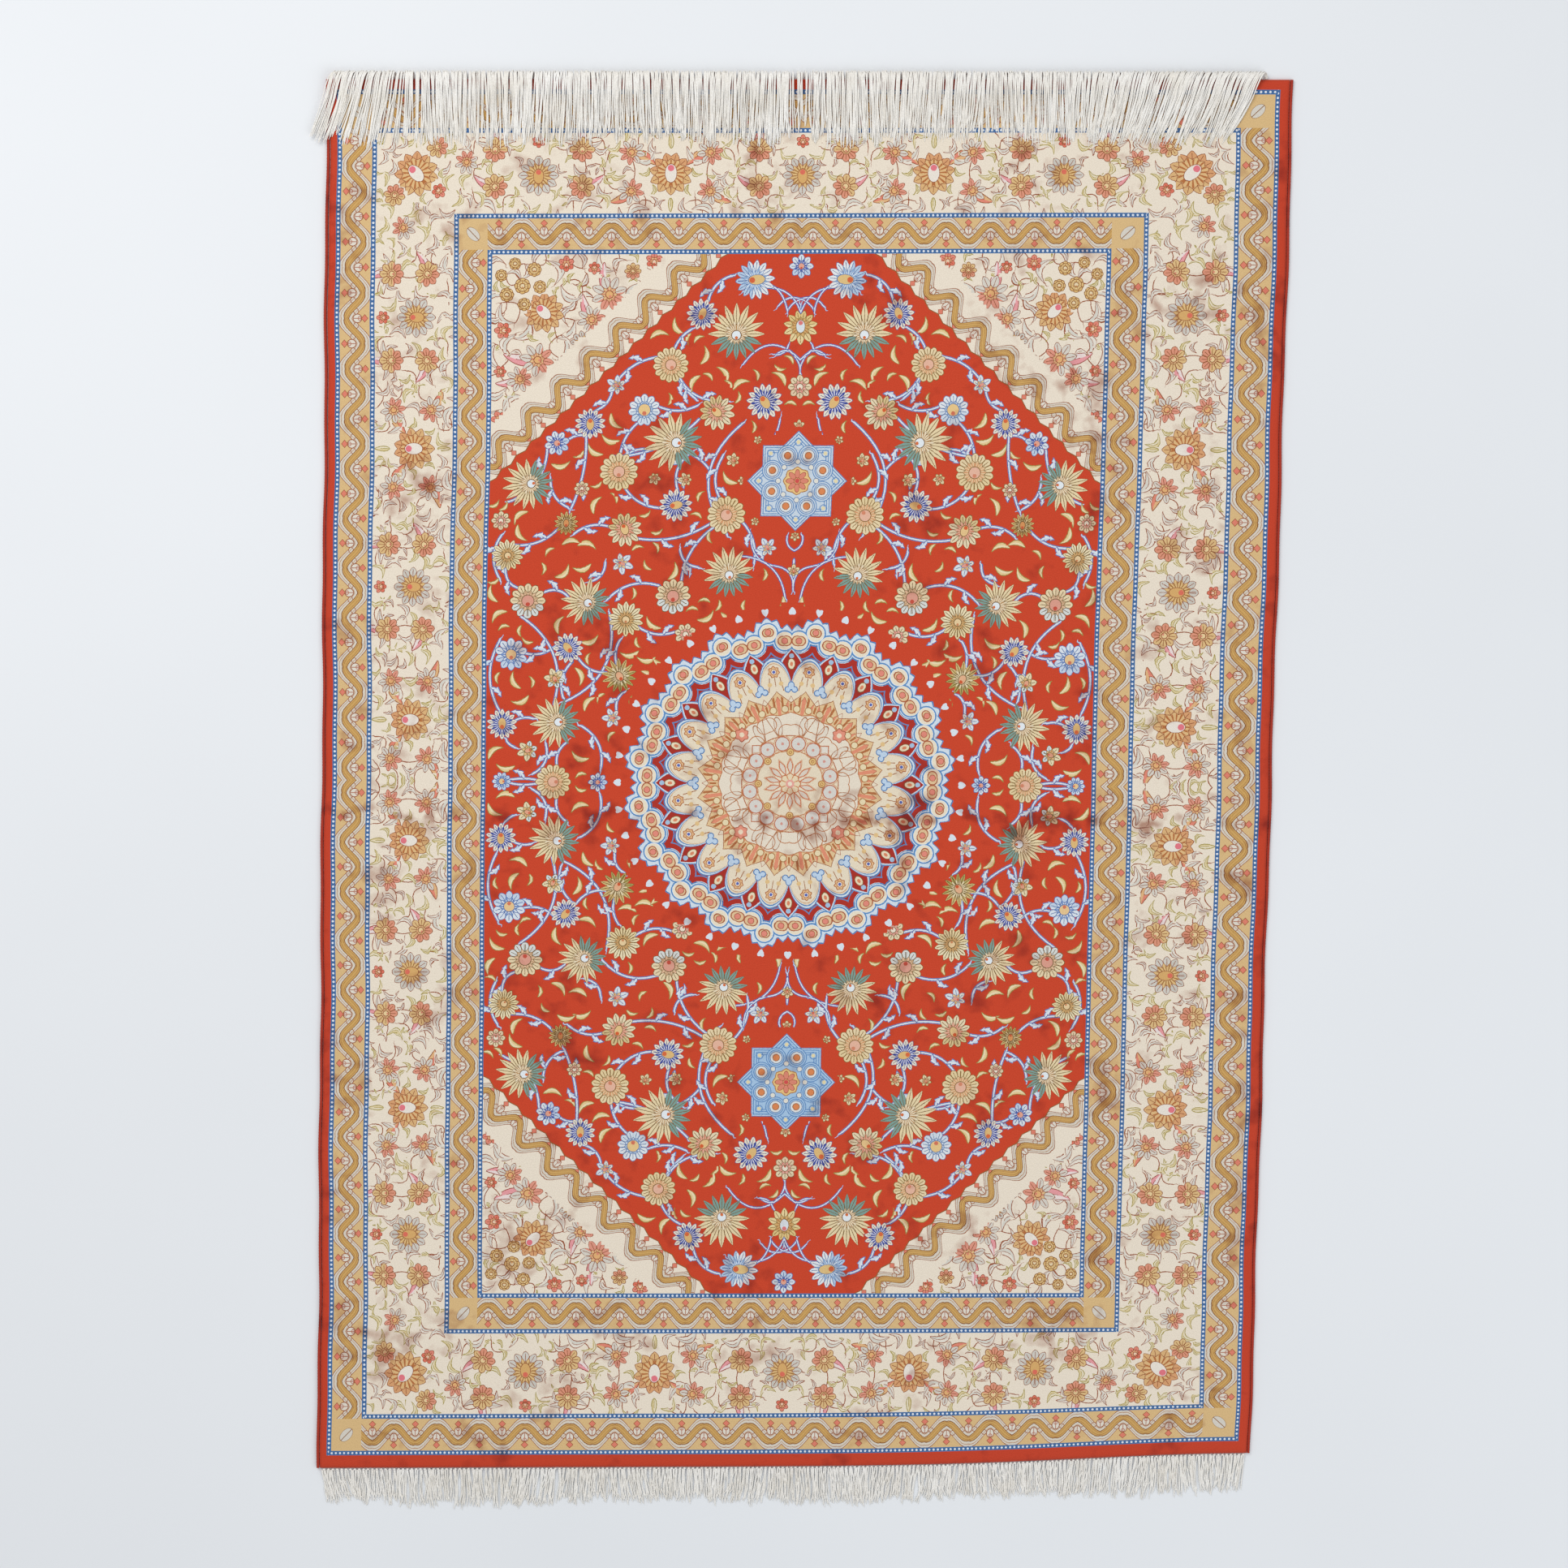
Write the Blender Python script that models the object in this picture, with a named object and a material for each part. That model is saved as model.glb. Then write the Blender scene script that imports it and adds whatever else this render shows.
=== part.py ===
"""A knotted silk rug with a medallion field, lying flat with its pile up.

The rug is one thin slab of knotted cloth. Its two long sides are bound with an overcast
cord, and its warps run on past each end as a fringe. At the top end the fringe is thrown
back over the face, and at the bottom end it lies out flat.

Frame, in metres: the origin is on the underside, below the middle of the medallion.
+X runs across the rug, +Y towards the end whose fringe is thrown back, and +Z is up.
"""

import math
import random

import bmesh
import bpy
from mathutils import Vector

# The knotted cloth, squared up, before the pull of the weave is added.
PILE_TOP = 0.004
LEFT_EDGE = -0.4887
RIGHT_EDGE = 0.5113
TOP_EDGE = 0.7342
BOTTOM_EDGE = -0.7377
SIDE_STEPS = 40
END_STEPS = 32

# How the weave is pulled out of square.
TOP_SKEW = 0.020  # the top end climbs by this share of the way to the right
TOP_SKEW_RANGE = (0.05, 0.56)  # where along the rug that starts, and where it is full
SIDE_LEAN = 0.024  # how far the side borders lean over, growing away from the middle
CORNER_LIFT = 0.013  # the bottom right corner is drawn in
CORNER_REACH = (0.25, 0.10)
SIDE_WAVES = ((0.0007, 21.0, 0.4), (0.0004, 57.0, 1.9))  # height, pace along Y, start
RIGHT_WAVE_START = 1.0

# The gap between touching pieces, and the overcast cords along the sides.
GAP = 0.0003
CORD_RADIUS = 0.0017
CORD_RESOLUTION = 2

# Each fringe is a comb: a row of knots, and the warps that leave it in bunches.
HEADING_DEPTH = 0.0032
HEADING_BOTTOM = 0.0003
HEADING_TOP = 0.0037
WARP_THICKNESS = 0.0016
BUNCH_SHARE = 0.82  # of each bunch's space, the rest is the gap to the next one
TIP_SHARE = 0.62  # how much of its width a bunch keeps at its tip
BUNCHES = 64
LEAN_SPREAD = 0.0006  # how unevenly neighbouring bunches lean
SEED = 7

# The top fringe: its ends along X, its fold as steps out from the edge and up, and its tips.
TOP_SPAN = (-0.4880, 0.4890)
TOP_FOLD = (
    (0.0035, 0.0020),
    (0.0058, 0.0036),
    (0.0070, 0.0062),
    (0.0056, 0.0088),
    (0.0010, 0.0093),
    (-0.0080, 0.0070),
    (-0.0230, 0.0056),
)
TOP_TIP_HEIGHT = 0.0055
TOP_TIPS = (0.056, 0.070)  # how far down the face the tips lie
TOP_FLARE = (-0.016, 0.09, -0.036, 0.22)  # lean and its reach, left end then right end

# The bottom fringe, in the same way.
BOTTOM_SPAN = (-0.4870, 0.5090)
BOTTOM_FALL = ((0.0035, 0.0020), (0.0075, 0.0012), (0.0140, 0.0009))
BOTTOM_TIP_HEIGHT = 0.0009
BOTTOM_TIPS = (-0.050, -0.040)  # negative, because they lie out past the edge
BOTTOM_FLARE = (0.006, 0.10, -0.006, 0.10)


def smooth_step(low, high, value):
    share = min(1.0, max(0.0, (value - low) / (high - low)))
    return share * share * (3.0 - 2.0 * share)


def pulled(x, y):
    """Where the pull of the weave takes a point of the squared-up rug."""
    climb = TOP_SKEW * x * smooth_step(*TOP_SKEW_RANGE, y)
    across = (x - RIGHT_EDGE) / CORNER_REACH[0]
    along = (y - BOTTOM_EDGE) / CORNER_REACH[1]
    lift = CORNER_LIFT * math.exp(-across * across - along * along)
    return x + SIDE_LEAN * y * x * x, y + climb + lift


def side_wave(y):
    return sum(height * math.sin(pace * y + start) for height, pace, start in SIDE_WAVES)


def steps(start, end, count):
    return [start + (end - start) * step / count for step in range(count + 1)]


def add(name, data, colour, roughness):
    """Puts one piece in the rug's collection, with its own material."""
    finish = bpy.data.materials.new(name)
    finish.use_nodes = True
    surface = finish.node_tree.nodes["Principled BSDF"]
    surface.inputs["Base Color"].default_value = (*colour, 1.0)
    surface.inputs["Roughness"].default_value = roughness
    data.materials.append(finish)
    piece = bpy.data.objects.new(name, data)
    collection.objects.link(piece)
    return piece


def knotted_cloth():
    """The slab of warps, wefts and clipped pile, with its sides a little wavy."""
    side = steps(BOTTOM_EDGE, TOP_EDGE, SIDE_STEPS)
    end = steps(LEFT_EDGE, RIGHT_EDGE, END_STEPS)[1:-1]
    outline = [(LEFT_EDGE + side_wave(y), y) for y in reversed(side)]
    outline += [(x, BOTTOM_EDGE) for x in end]
    outline += [(RIGHT_EDGE + side_wave(y + RIGHT_WAVE_START), y) for y in side]
    outline += [(x, TOP_EDGE) for x in reversed(end)]
    curve = bpy.data.curves.new("rug", "CURVE")
    curve.dimensions = "2D"
    curve.fill_mode = "BOTH"
    curve.extrude = PILE_TOP / 2
    spline = curve.splines.new("POLY")
    spline.points.add(len(outline) - 1)
    spline.use_cyclic_u = True
    for point, (x, y) in zip(spline.points, outline):
        point.co = (*pulled(x, y), 0.0, 1.0)
    rug = add("rug", curve, (0.62, 0.10, 0.04), 0.75)
    rug.location.z = PILE_TOP / 2


def overcast_cord(name, edge, outwards, wave_start):
    """The bound outermost warps: a round cord along one long side."""
    curve = bpy.data.curves.new(name, "CURVE")
    curve.dimensions = "3D"
    curve.bevel_depth = CORD_RADIUS
    curve.bevel_resolution = CORD_RESOLUTION
    curve.use_fill_caps = True
    places = steps(BOTTOM_EDGE, TOP_EDGE, SIDE_STEPS)
    spline = curve.splines.new("POLY")
    spline.points.add(len(places) - 1)
    for point, y in zip(spline.points, places):
        x = edge + side_wave(y + wave_start) + outwards * (GAP + CORD_RADIUS)
        point.co = (*pulled(x, y), CORD_RADIUS, 1.0)
    add(name, curve, (0.55, 0.07, 0.03), 0.70)


def heading_bar(span, edge, outwards):
    """The knot row as a bar along the edge, and the faces that the bunches leave it by."""
    bm = bmesh.new()
    pitch = (span[1] - span[0]) / BUNCHES
    near = edge + outwards * GAP
    ends = [bm.verts.new((span[0], near, z)) for z in (HEADING_BOTTOM, HEADING_TOP)]
    strip = [bm.edges.new(ends)]
    for _ in range(BUNCHES):
        for width in (pitch * BUNCH_SHARE, pitch * (1.0 - BUNCH_SHARE)):
            grown = bmesh.ops.extrude_edge_only(bm, edges=strip)["geom"]
            ends = [part for part in grown if isinstance(part, bmesh.types.BMVert)]
            bmesh.ops.translate(bm, verts=ends, vec=(width, 0.0, 0.0))
            strip = [bm.edges.get(ends)]
    solid = bmesh.ops.extrude_face_region(bm, geom=bm.faces[:])["geom"]
    front = [part for part in solid if isinstance(part, bmesh.types.BMVert)]
    bmesh.ops.translate(bm, verts=front, vec=(0.0, outwards * HEADING_DEPTH, 0.0))
    faces = [part for part in solid if isinstance(part, bmesh.types.BMFace)]
    faces.sort(key=lambda face: face.calc_center_median().x)
    return bm, faces[0::2]


def bunch_route(x, fold, tip, flare, span, edge, outwards):
    """One bunch's middle line, and how far it has gone sideways by each place on it."""
    left_lean, left_reach, right_lean, right_reach = flare
    lean = left_lean * smooth_step(left_reach, 0.0, x - span[0])
    lean += right_lean * smooth_step(right_reach, 0.0, span[1] - x)
    lean += random.uniform(-LEAN_SPREAD, LEAN_SPREAD)
    places = fold + (tip,)
    route = []
    for number, (out, height) in enumerate(places):
        share = (number / (len(places) - 1)) ** 2
        route.append(Vector((x + lean * share, edge + outwards * out, height)))
    return route


def grow_bunches(bm, faces, routes, width):
    """Extrudes all bunches together, each along its own route."""
    stretches = len(routes[0]) - 1
    for stretch in range(1, stretches + 1):
        faces = bmesh.ops.extrude_discrete_faces(bm, faces=faces)["faces"]
        faces.sort(key=lambda face: face.calc_center_median().x)
        half = width / 2 * (1.0 - (1.0 - TIP_SHARE) * stretch / stretches)
        for face, route in zip(faces, routes):
            middle = face.calc_center_median()
            before = thickness_way(route, stretch - 1)
            here = thickness_way(route, stretch)
            for vert in face.verts:
                offset = vert.co - middle
                high = math.copysign(WARP_THICKNESS / 2, offset.dot(before))
                vert.co = route[stretch] + here * high
                vert.co.x += math.copysign(half, offset.x)


def thickness_way(route, place):
    """Across a bunch's thickness: up where it leaves the edge, then round with its fold."""
    before = route[max(place - 1, 0)]
    after = route[min(place + 1, len(route) - 1)]
    along = after - before
    outwards = math.copysign(1.0, (route[1] - route[0]).y)
    return Vector((0.0, -outwards * along.z, outwards * along.y)).normalized()


def fringe(name, span, edge, outwards, fold, tips, tip_height, flare):
    """A comb of warps along one end of the rug."""
    bm, faces = heading_bar(span, edge, outwards)
    width = (span[1] - span[0]) / BUNCHES * BUNCH_SHARE
    routes = []
    for face in faces:
        tip = (-random.uniform(*tips), tip_height)
        x = face.calc_center_median().x
        routes.append(bunch_route(x, fold, tip, flare, span, edge, outwards))
    grow_bunches(bm, faces, routes, width)
    for vert in bm.verts:
        vert.co.x, vert.co.y = pulled(vert.co.x, vert.co.y)
    bmesh.ops.recalc_face_normals(bm, faces=bm.faces[:])
    mesh = bpy.data.meshes.new(name)
    bm.to_mesh(mesh)
    bm.free()
    add(name, mesh, (0.78, 0.74, 0.68), 0.85)


for old in list(bpy.data.objects):
    bpy.data.objects.remove(old, do_unlink=True)
collection = bpy.data.collections.new("persian_rug")
bpy.context.scene.collection.children.link(collection)
random.seed(SEED)

knotted_cloth()
overcast_cord("side_cord_left", LEFT_EDGE, -1.0, 0.0)
overcast_cord("side_cord_right", RIGHT_EDGE, 1.0, RIGHT_WAVE_START)
fringe(
    "fringe_top", TOP_SPAN, TOP_EDGE, 1.0, TOP_FOLD, TOP_TIPS, TOP_TIP_HEIGHT, TOP_FLARE
)
fringe(
    "fringe_bottom", BOTTOM_SPAN, BOTTOM_EDGE, -1.0, BOTTOM_FALL, BOTTOM_TIPS,
    BOTTOM_TIP_HEIGHT, BOTTOM_FLARE,
)
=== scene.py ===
import math
import random

import bmesh
import bpy
import numpy as np
from mathutils import Matrix, Vector


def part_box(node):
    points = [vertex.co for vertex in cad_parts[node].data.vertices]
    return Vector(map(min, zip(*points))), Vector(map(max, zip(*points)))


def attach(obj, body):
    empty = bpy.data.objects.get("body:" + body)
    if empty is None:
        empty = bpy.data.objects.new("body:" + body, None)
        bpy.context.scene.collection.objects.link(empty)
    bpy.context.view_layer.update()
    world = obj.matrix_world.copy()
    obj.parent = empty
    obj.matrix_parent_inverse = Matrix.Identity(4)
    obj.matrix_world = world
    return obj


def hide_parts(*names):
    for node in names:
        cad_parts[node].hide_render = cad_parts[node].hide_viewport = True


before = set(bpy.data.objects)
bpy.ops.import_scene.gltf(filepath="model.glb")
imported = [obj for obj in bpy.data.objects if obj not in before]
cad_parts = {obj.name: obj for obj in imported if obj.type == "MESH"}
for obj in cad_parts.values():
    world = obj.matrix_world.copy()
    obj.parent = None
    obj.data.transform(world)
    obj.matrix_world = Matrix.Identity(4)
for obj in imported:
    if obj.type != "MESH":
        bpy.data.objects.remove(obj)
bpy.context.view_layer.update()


# --- Floor, light and camera ----------------------------------------------------------
# The rug lies on a plain pale floor under wide soft lamps. The camera hangs over it,
# a little towards the end with the folded fringe, and looks down on its face.
FLOOR_SIZE = 16.0
FLOOR_TOP = -0.0004
CAMERA_DISTANCE = 3.2
CAMERA_LENS = 69.46
CAMERA_TURNS = {"X": 4.55, "Y": 3.05, "Z": -0.49}  # degrees, each about its own axis
CAMERA_SHIFT = Vector((-0.0063, -0.0001, CAMERA_DISTANCE))
PILE_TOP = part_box("rug")[1][2]


def linear(colour):
    """The light that a screen colour such as "c83c1e" stands for."""
    shares = [int(colour[place:place + 2], 16) / 255 for place in (0, 2, 4)]
    return tuple(s / 12.92 if s < 0.04045 else ((s + 0.055) / 1.055) ** 2.4 for s in shares)


class Yarn:
    """One value inside a material, so that a pattern can be written as an expression."""

    tree = None  # the nodes of the material that is being made

    def __init__(self, socket):
        self.socket = socket

    @classmethod
    def node(cls, kind, settings=None, values=None, output=0):
        """Any node: its settings are made first, then the values or links of its sockets."""
        made = cls.tree.nodes.new(kind)
        for name, value in (settings or {}).items():
            if name == "stops":
                made.color_ramp.interpolation = "CONSTANT"
                made.color_ramp.elements.remove(made.color_ramp.elements[1])
                made.color_ramp.elements[0].color = value[0][1]
                for place, colour in value[1:]:
                    made.color_ramp.elements.new(place).color = colour
            else:
                setattr(made, name, value)
        for name, value in (values or {}).items():
            if isinstance(value, Yarn):
                cls.tree.links.new(value.socket, made.inputs[name])
            else:
                made.inputs[name].default_value = value
        return cls(made.outputs[output])

    def other_output(self, name):
        return Yarn(self.socket.node.outputs[name])

    @classmethod
    def maths(cls, operation, *values):
        settings = {"operation": operation}
        return cls.node("ShaderNodeMath", settings, dict(enumerate(values)))

    def __add__(self, other):
        return Yarn.maths("ADD", self, other)

    def __sub__(self, other):
        return Yarn.maths("SUBTRACT", self, other)

    def __mul__(self, other):
        return Yarn.maths("MULTIPLY", self, other)

    def __truediv__(self, other):
        return Yarn.maths("DIVIDE", self, other)

    def __pow__(self, other):
        return Yarn.maths("POWER", self, other)

    def __lt__(self, other):
        return Yarn.maths("LESS_THAN", self, other)

    def __gt__(self, other):
        return Yarn.maths("GREATER_THAN", self, other)

    def __and__(self, other):
        return Yarn.maths("MULTIPLY", self, other)

    def __or__(self, other):
        return Yarn.maths("MAXIMUM", self, other)

    def __abs__(self):
        return Yarn.maths("ABSOLUTE", self)

    def __neg__(self):
        return Yarn.maths("MULTIPLY", self, -1.0)

    def __rsub__(self, other):
        return Yarn.maths("SUBTRACT", other, self)

    __radd__ = __add__
    __rmul__ = __mul__


def start_material(name):
    """A new material, with its Principled node's sockets for a caller to set."""
    made = bpy.data.materials.new(name)
    made.use_nodes = True
    Yarn.tree = made.node_tree
    return made, made.node_tree.nodes["Principled BSDF"].inputs


def blend(mask, off, on, way="MIX"):
    """off where mask is 0 and on where it is 1. Both are colours."""
    values = {0: mask, 6: off, 7: on}
    for place in (6, 7):
        if isinstance(values[place], str):
            values[place] = (*linear(values[place]), 1.0)
    return Yarn.node("ShaderNodeMix", {"data_type": "RGBA", "blend_type": way}, values, 2)


def noise(place, scale, detail=2.0):
    return Yarn.node(
        "ShaderNodeTexNoise", {}, {"Vector": place, "Scale": scale, "Detail": detail}
    )


def mesh_piece(name, bm, materials):
    """A finished bmesh as an object at the origin."""
    mesh = bpy.data.meshes.new(name)
    bm.to_mesh(mesh)
    bm.free()
    piece = bpy.data.objects.new(name, mesh)
    bpy.context.scene.collection.objects.link(piece)
    for material in materials:
        mesh.materials.append(material)
    return piece


plaster, sockets = start_material("studio_floor")
place = Yarn.node("ShaderNodeTexCoord", output="Object")
sockets["Roughness"].default_value = 0.9
cloud = noise(place, 1.3, 3.0)
plaster.node_tree.links.new(
    blend(cloud.other_output("Fac"), "dcdee0", "e6e8ea").socket, sockets["Base Color"]
)
bm = bmesh.new()
bmesh.ops.create_grid(bm, x_segments=2, y_segments=2, size=FLOOR_SIZE / 2)
bmesh.ops.translate(bm, verts=bm.verts, vec=(0.0, 0.0, FLOOR_TOP))
floor = mesh_piece("studio_floor", bm, [plaster])

# Each lamp: where it stands, the side of its square, its power and its colour.
for name, spot, side, power, colour in (
    ("key", (-1.6, 1.9, 2.9), 2.2, 68.0, (1.0, 0.985, 0.97)),
    ("fill", (2.2, -1.2, 2.6), 2.6, 30.0, (0.95, 0.975, 1.0)),
):
    lamp = bpy.data.lights.new(name, "AREA")
    lamp.size = side
    lamp.energy = power
    lamp.color = colour
    held = bpy.data.objects.new(name, lamp)
    held.location = spot
    held.rotation_euler = (-Vector(spot)).to_track_quat("-Z", "Y").to_euler()
    bpy.context.scene.collection.objects.link(held)
world = bpy.data.worlds.new("studio")
world.use_nodes = True
world.node_tree.nodes["Background"].inputs["Color"].default_value = (0.93, 0.96, 1.0, 1.0)
world.node_tree.nodes["Background"].inputs["Strength"].default_value = 0.62
bpy.context.scene.world = world
bpy.context.scene.view_settings.view_transform = "Standard"

turned = Matrix.Identity(3)
for axis, angle in CAMERA_TURNS.items():
    turned = Matrix.Rotation(math.radians(angle), 3, axis) @ turned
camera = bpy.data.objects.new("camera", bpy.data.cameras.new("camera"))
camera.data.lens = CAMERA_LENS
camera.rotation_euler = turned.transposed().to_euler()
camera.location = turned.transposed() @ CAMERA_SHIFT + Vector((0.0, 0.0, PILE_TOP))
bpy.context.scene.collection.objects.link(camera)
bpy.context.scene.camera = camera


# --- Knotted cloth --------------------------------------------------------------------
# One silk pile knotted on a silk warp, sheared to 4 mm and brushed. Its pattern of vines
# round a star medallion is the same in all four quarters, inside a palmette border
# between two narrow guards and four lines of white dots.
LEFT_EDGE = -0.4887
RIGHT_EDGE = 0.5113
TOP_EDGE = 0.7342
BOTTOM_EDGE = -0.7377
PILE_SHOULDER = 0.0029  # height of the sheared edge
CELL = 0.00408  # longest side of one cell of the mesh
DOTS_HALF = 0.00245  # half the width of a dotted line
# Centres of the dotted lines and the outer edge, from the middle of the rug: on the left,
# the right, the top and the bottom, and where they are on the squared-up pattern.
LEFT_LINES = (0.3233, 0.3578, 0.4432, 0.4791, -LEFT_EDGE)
RIGHT_LINES = (0.3233, 0.3623, 0.4579, 0.4989, RIGHT_EDGE)
TOP_LINES = (0.5572, 0.5942, 0.6818, 0.7213, TOP_EDGE)
BOTTOM_LINES = (0.5504, 0.5891, 0.6815, 0.7213, -BOTTOM_EDGE)
SQUARED_ACROSS = (0.3233, 0.3600, 0.4505, 0.4890, 0.5000)
SQUARED_ALONG = (0.5572, 0.5950, 0.6850, 0.7245, 0.7360)
# How the finished cloth is pulled out of square, as part.py has it.
TOP_SKEW = 0.020
TOP_SKEW_RANGE = (0.05, 0.56)
SIDE_LEAN = 0.024
CORNER_LIFT = 0.013
CORNER_REACH = (0.25, 0.10)
SIDE_WAVES = ((0.0007, 21.0, 0.4), (0.0004, 57.0, 1.9))
RIGHT_WAVE_START = 1.0
AXIS_DRIFT = 0.005  # how far the pattern's middle wanders to the right near the top


def smooth_step(low, high, value):
    share = np.clip((value - low) / (high - low), 0.0, 1.0)
    return share * share * (3 - 2 * share)


def side_wave(y):
    return sum(height * np.sin(pace * y + start) for height, pace, start in SIDE_WAVES)


def pulled(x, y):
    climb = TOP_SKEW * x * smooth_step(*TOP_SKEW_RANGE, y)
    across = (x - RIGHT_EDGE) / CORNER_REACH[0]
    along = (y - BOTTOM_EDGE) / CORNER_REACH[1]
    lift = CORNER_LIFT * np.exp(-across * across - along * along)
    return x + SIDE_LEAN * y * x * x, y + climb + lift


def grid_lines(low_side, high_side):
    """Where the mesh is cut: on both sides of every dotted line and evenly between."""
    keys = [0.0]
    for line in low_side[:-1]:
        keys += [-line - DOTS_HALF, -line + DOTS_HALF]
    for line in high_side[:-1]:
        keys += [line - DOTS_HALF, line + DOTS_HALF]
    keys = sorted(keys + [-low_side[-1], high_side[-1]])
    cuts = []
    for start, end in zip(keys, keys[1:]):
        parts = max(1, math.ceil((end - start) / CELL - 0.02))
        cuts += [start + (end - start) * part / parts for part in range(parts)]
    return np.array(cuts + [keys[-1]])


def squared_up(values, low_side, high_side, on_pattern):
    """Places on the cloth as distances from the middle of the squared-up pattern."""
    def knots(lines):
        found = [0.0]
        for line in lines[:-1]:
            found += [line - DOTS_HALF, line + DOTS_HALF]
        return found + [lines[-1]]
    low = np.interp(-values, knots(low_side), knots(on_pattern))
    high = np.interp(values, knots(high_side), knots(on_pattern))
    return np.where(values < 0, low, high)


columns = grid_lines(LEFT_LINES, RIGHT_LINES)
rows = grid_lines(BOTTOM_LINES, TOP_LINES)
bm = bmesh.new()
bmesh.ops.create_grid(bm, x_segments=len(columns) - 1, y_segments=len(rows) - 1, size=1.0)
plan = np.empty((len(bm.verts), 2))
for number, vertex in enumerate(bm.verts):
    plan[number, 0] = columns[round((vertex.co.x + 1) / 2 * (len(columns) - 1))]
    plan[number, 1] = rows[round((vertex.co.y + 1) / 2 * (len(rows) - 1))]
x, y = plan.T
inside = 1 - (x / RIGHT_EDGE) ** 2
settled_x = x + AXIS_DRIFT * smooth_step(0.15, 0.42, y) * np.clip(inside, 0.0, 1.0)
side_share = np.clip((x - LEFT_EDGE) / (RIGHT_EDGE - LEFT_EDGE), 0.0, 1.0)
waves = side_wave(y) * (1 - side_share) ** 6 + side_wave(y + RIGHT_WAVE_START) * side_share**6
settled_x, settled_y = pulled(settled_x + waves, y)
rim = np.minimum(np.minimum(x - LEFT_EDGE, RIGHT_EDGE - x), np.minimum(y - BOTTOM_EDGE, TOP_EDGE - y))
ripple = np.sin(9.1 * x + 3.0 * y + 0.4) * np.sin(5.3 * y - 2.0 * x + 1.1)
ripple += 0.5 * np.sin(23.0 * y + 3.5 * x) * np.exp(-(((y + 0.60) / 0.12) ** 2))
height = PILE_TOP + 0.0004 * ripple * smooth_step(0.0, 0.03, rim)
height = np.where(rim < 1e-6, PILE_SHOULDER, height)
for number, vertex in enumerate(bm.verts):
    vertex.co = (settled_x[number], settled_y[number], height[number])
shoulder = [edge for edge in bm.edges if edge.is_boundary]
skirt = bmesh.ops.extrude_edge_only(bm, edges=shoulder)["geom"]
for vertex in skirt:
    if isinstance(vertex, bmesh.types.BMVert):
        vertex.co.z = 0.0
hem = [edge for edge in skirt if isinstance(edge, bmesh.types.BMEdge) and edge.is_boundary]
bmesh.ops.edgeloop_fill(bm, edges=hem)
bmesh.ops.recalc_face_normals(bm, faces=bm.faces)
for face in bm.faces:
    face.smooth = face.normal.z > 0.5

# Each flower's dyes: petals, lower petals, ring, streaks of the ring, heart, its base and
# the outline.
FLOWER_DYES = {
    "none": "c8371e c8371e c8371e c8371e c8371e c8371e c8371e",
    "great": "ecd9ae 7fa39a f0e2c4 b98a52 e9f0f4 d9713c 7d5a2c",
    "sky": "e9ecec b9cfe6 8fb0d6 dfe8f0 e3c384 d8653a 5470a4",
    "navy": "f0e8d2 f0e8d2 36459c e6e8ee e3bd7c dd6b3c 5a6296",
    "cream_rosette": "ecd8ae e8d2a2 e6c69a d8996a eab9a0 d98a6a 8a6630",
    "blue_rosette": "e4eaee d4e0ea 9fbada e9eef2 ecca8c d9785a 5f7aa8",
    "pink_palmette": "ecdcb8 dcc490 e8b49a c87a5a e9c68c d9602e 7a5a2c",
    "chrysanthemum": "f0e2bc ead6a6 dcb67c a8743c ecd0a0 d08a5a 7a5c28",
    "brown_gold": "d9b878 c8a460 8c6a38 ecd6a4 d9955a c85a34 6a4c20",
    "round": "ecd8b0 dce0dc c8a47c ecc4a4 dfa08c c8503c 7a5e34",
    "small_blue": "dfe6ea c4d4e6 4a5cae e4e8ee e8a890 d0583c 4f66a0",
    "small_pink": "ead8b4 e6ccaa e8b0a0 d88474 f0e4d0 c85a4a 86663c",
    "lily": "dfe6ea e6e2d2 e8c890 c88a52 e8a08a d86a4a 6a80a8",
    "bud": "ead8b0 e4cc9a e8b490 d08050 e8a080 d06040 8a6a34",
    "axis_palmette": "ecd6a0 e4c888 d8b070 b8804a dfe6ea e07a7a 8a6a30",
    "olive_spiky": "d8bc7c b8a860 ecdcb4 8a6c34 e8b48c d0582c 665020",
    "leaf_flower": "ecdcb6 d8e0e4 e8c088 c88a50 e8a888 d86848 7a6a3c",
    "blue_white": "dfe8f0 c8d8ea 7896c8 e8eef2 ecca94 d8785a 4c6aa8",
    "border_gold": "e0b67e dda472 e4bc84 b8703c f0e8dc e87a86 96502c",
    "border_grey": "d6d2c8 cfcbc0 e4c084 a8743c dcae6c e0705a 985432",
    "border_lily": "dcd6ca e49a84 e6c48c d8826a e8b478 e08a72 96502e",
    "border_star": "e2bf86 e2987c e6c48c d88a68 ecd09c e08a72 96562e",
    "border_red": "e88c78 e4745e e8c08c e2604c f0d0b0 e06050 a05838",
    "corner_ring": "e4c080 e0b874 e8cc94 c89850 ecd8b0 d89a5c 96602e",
}
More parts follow.
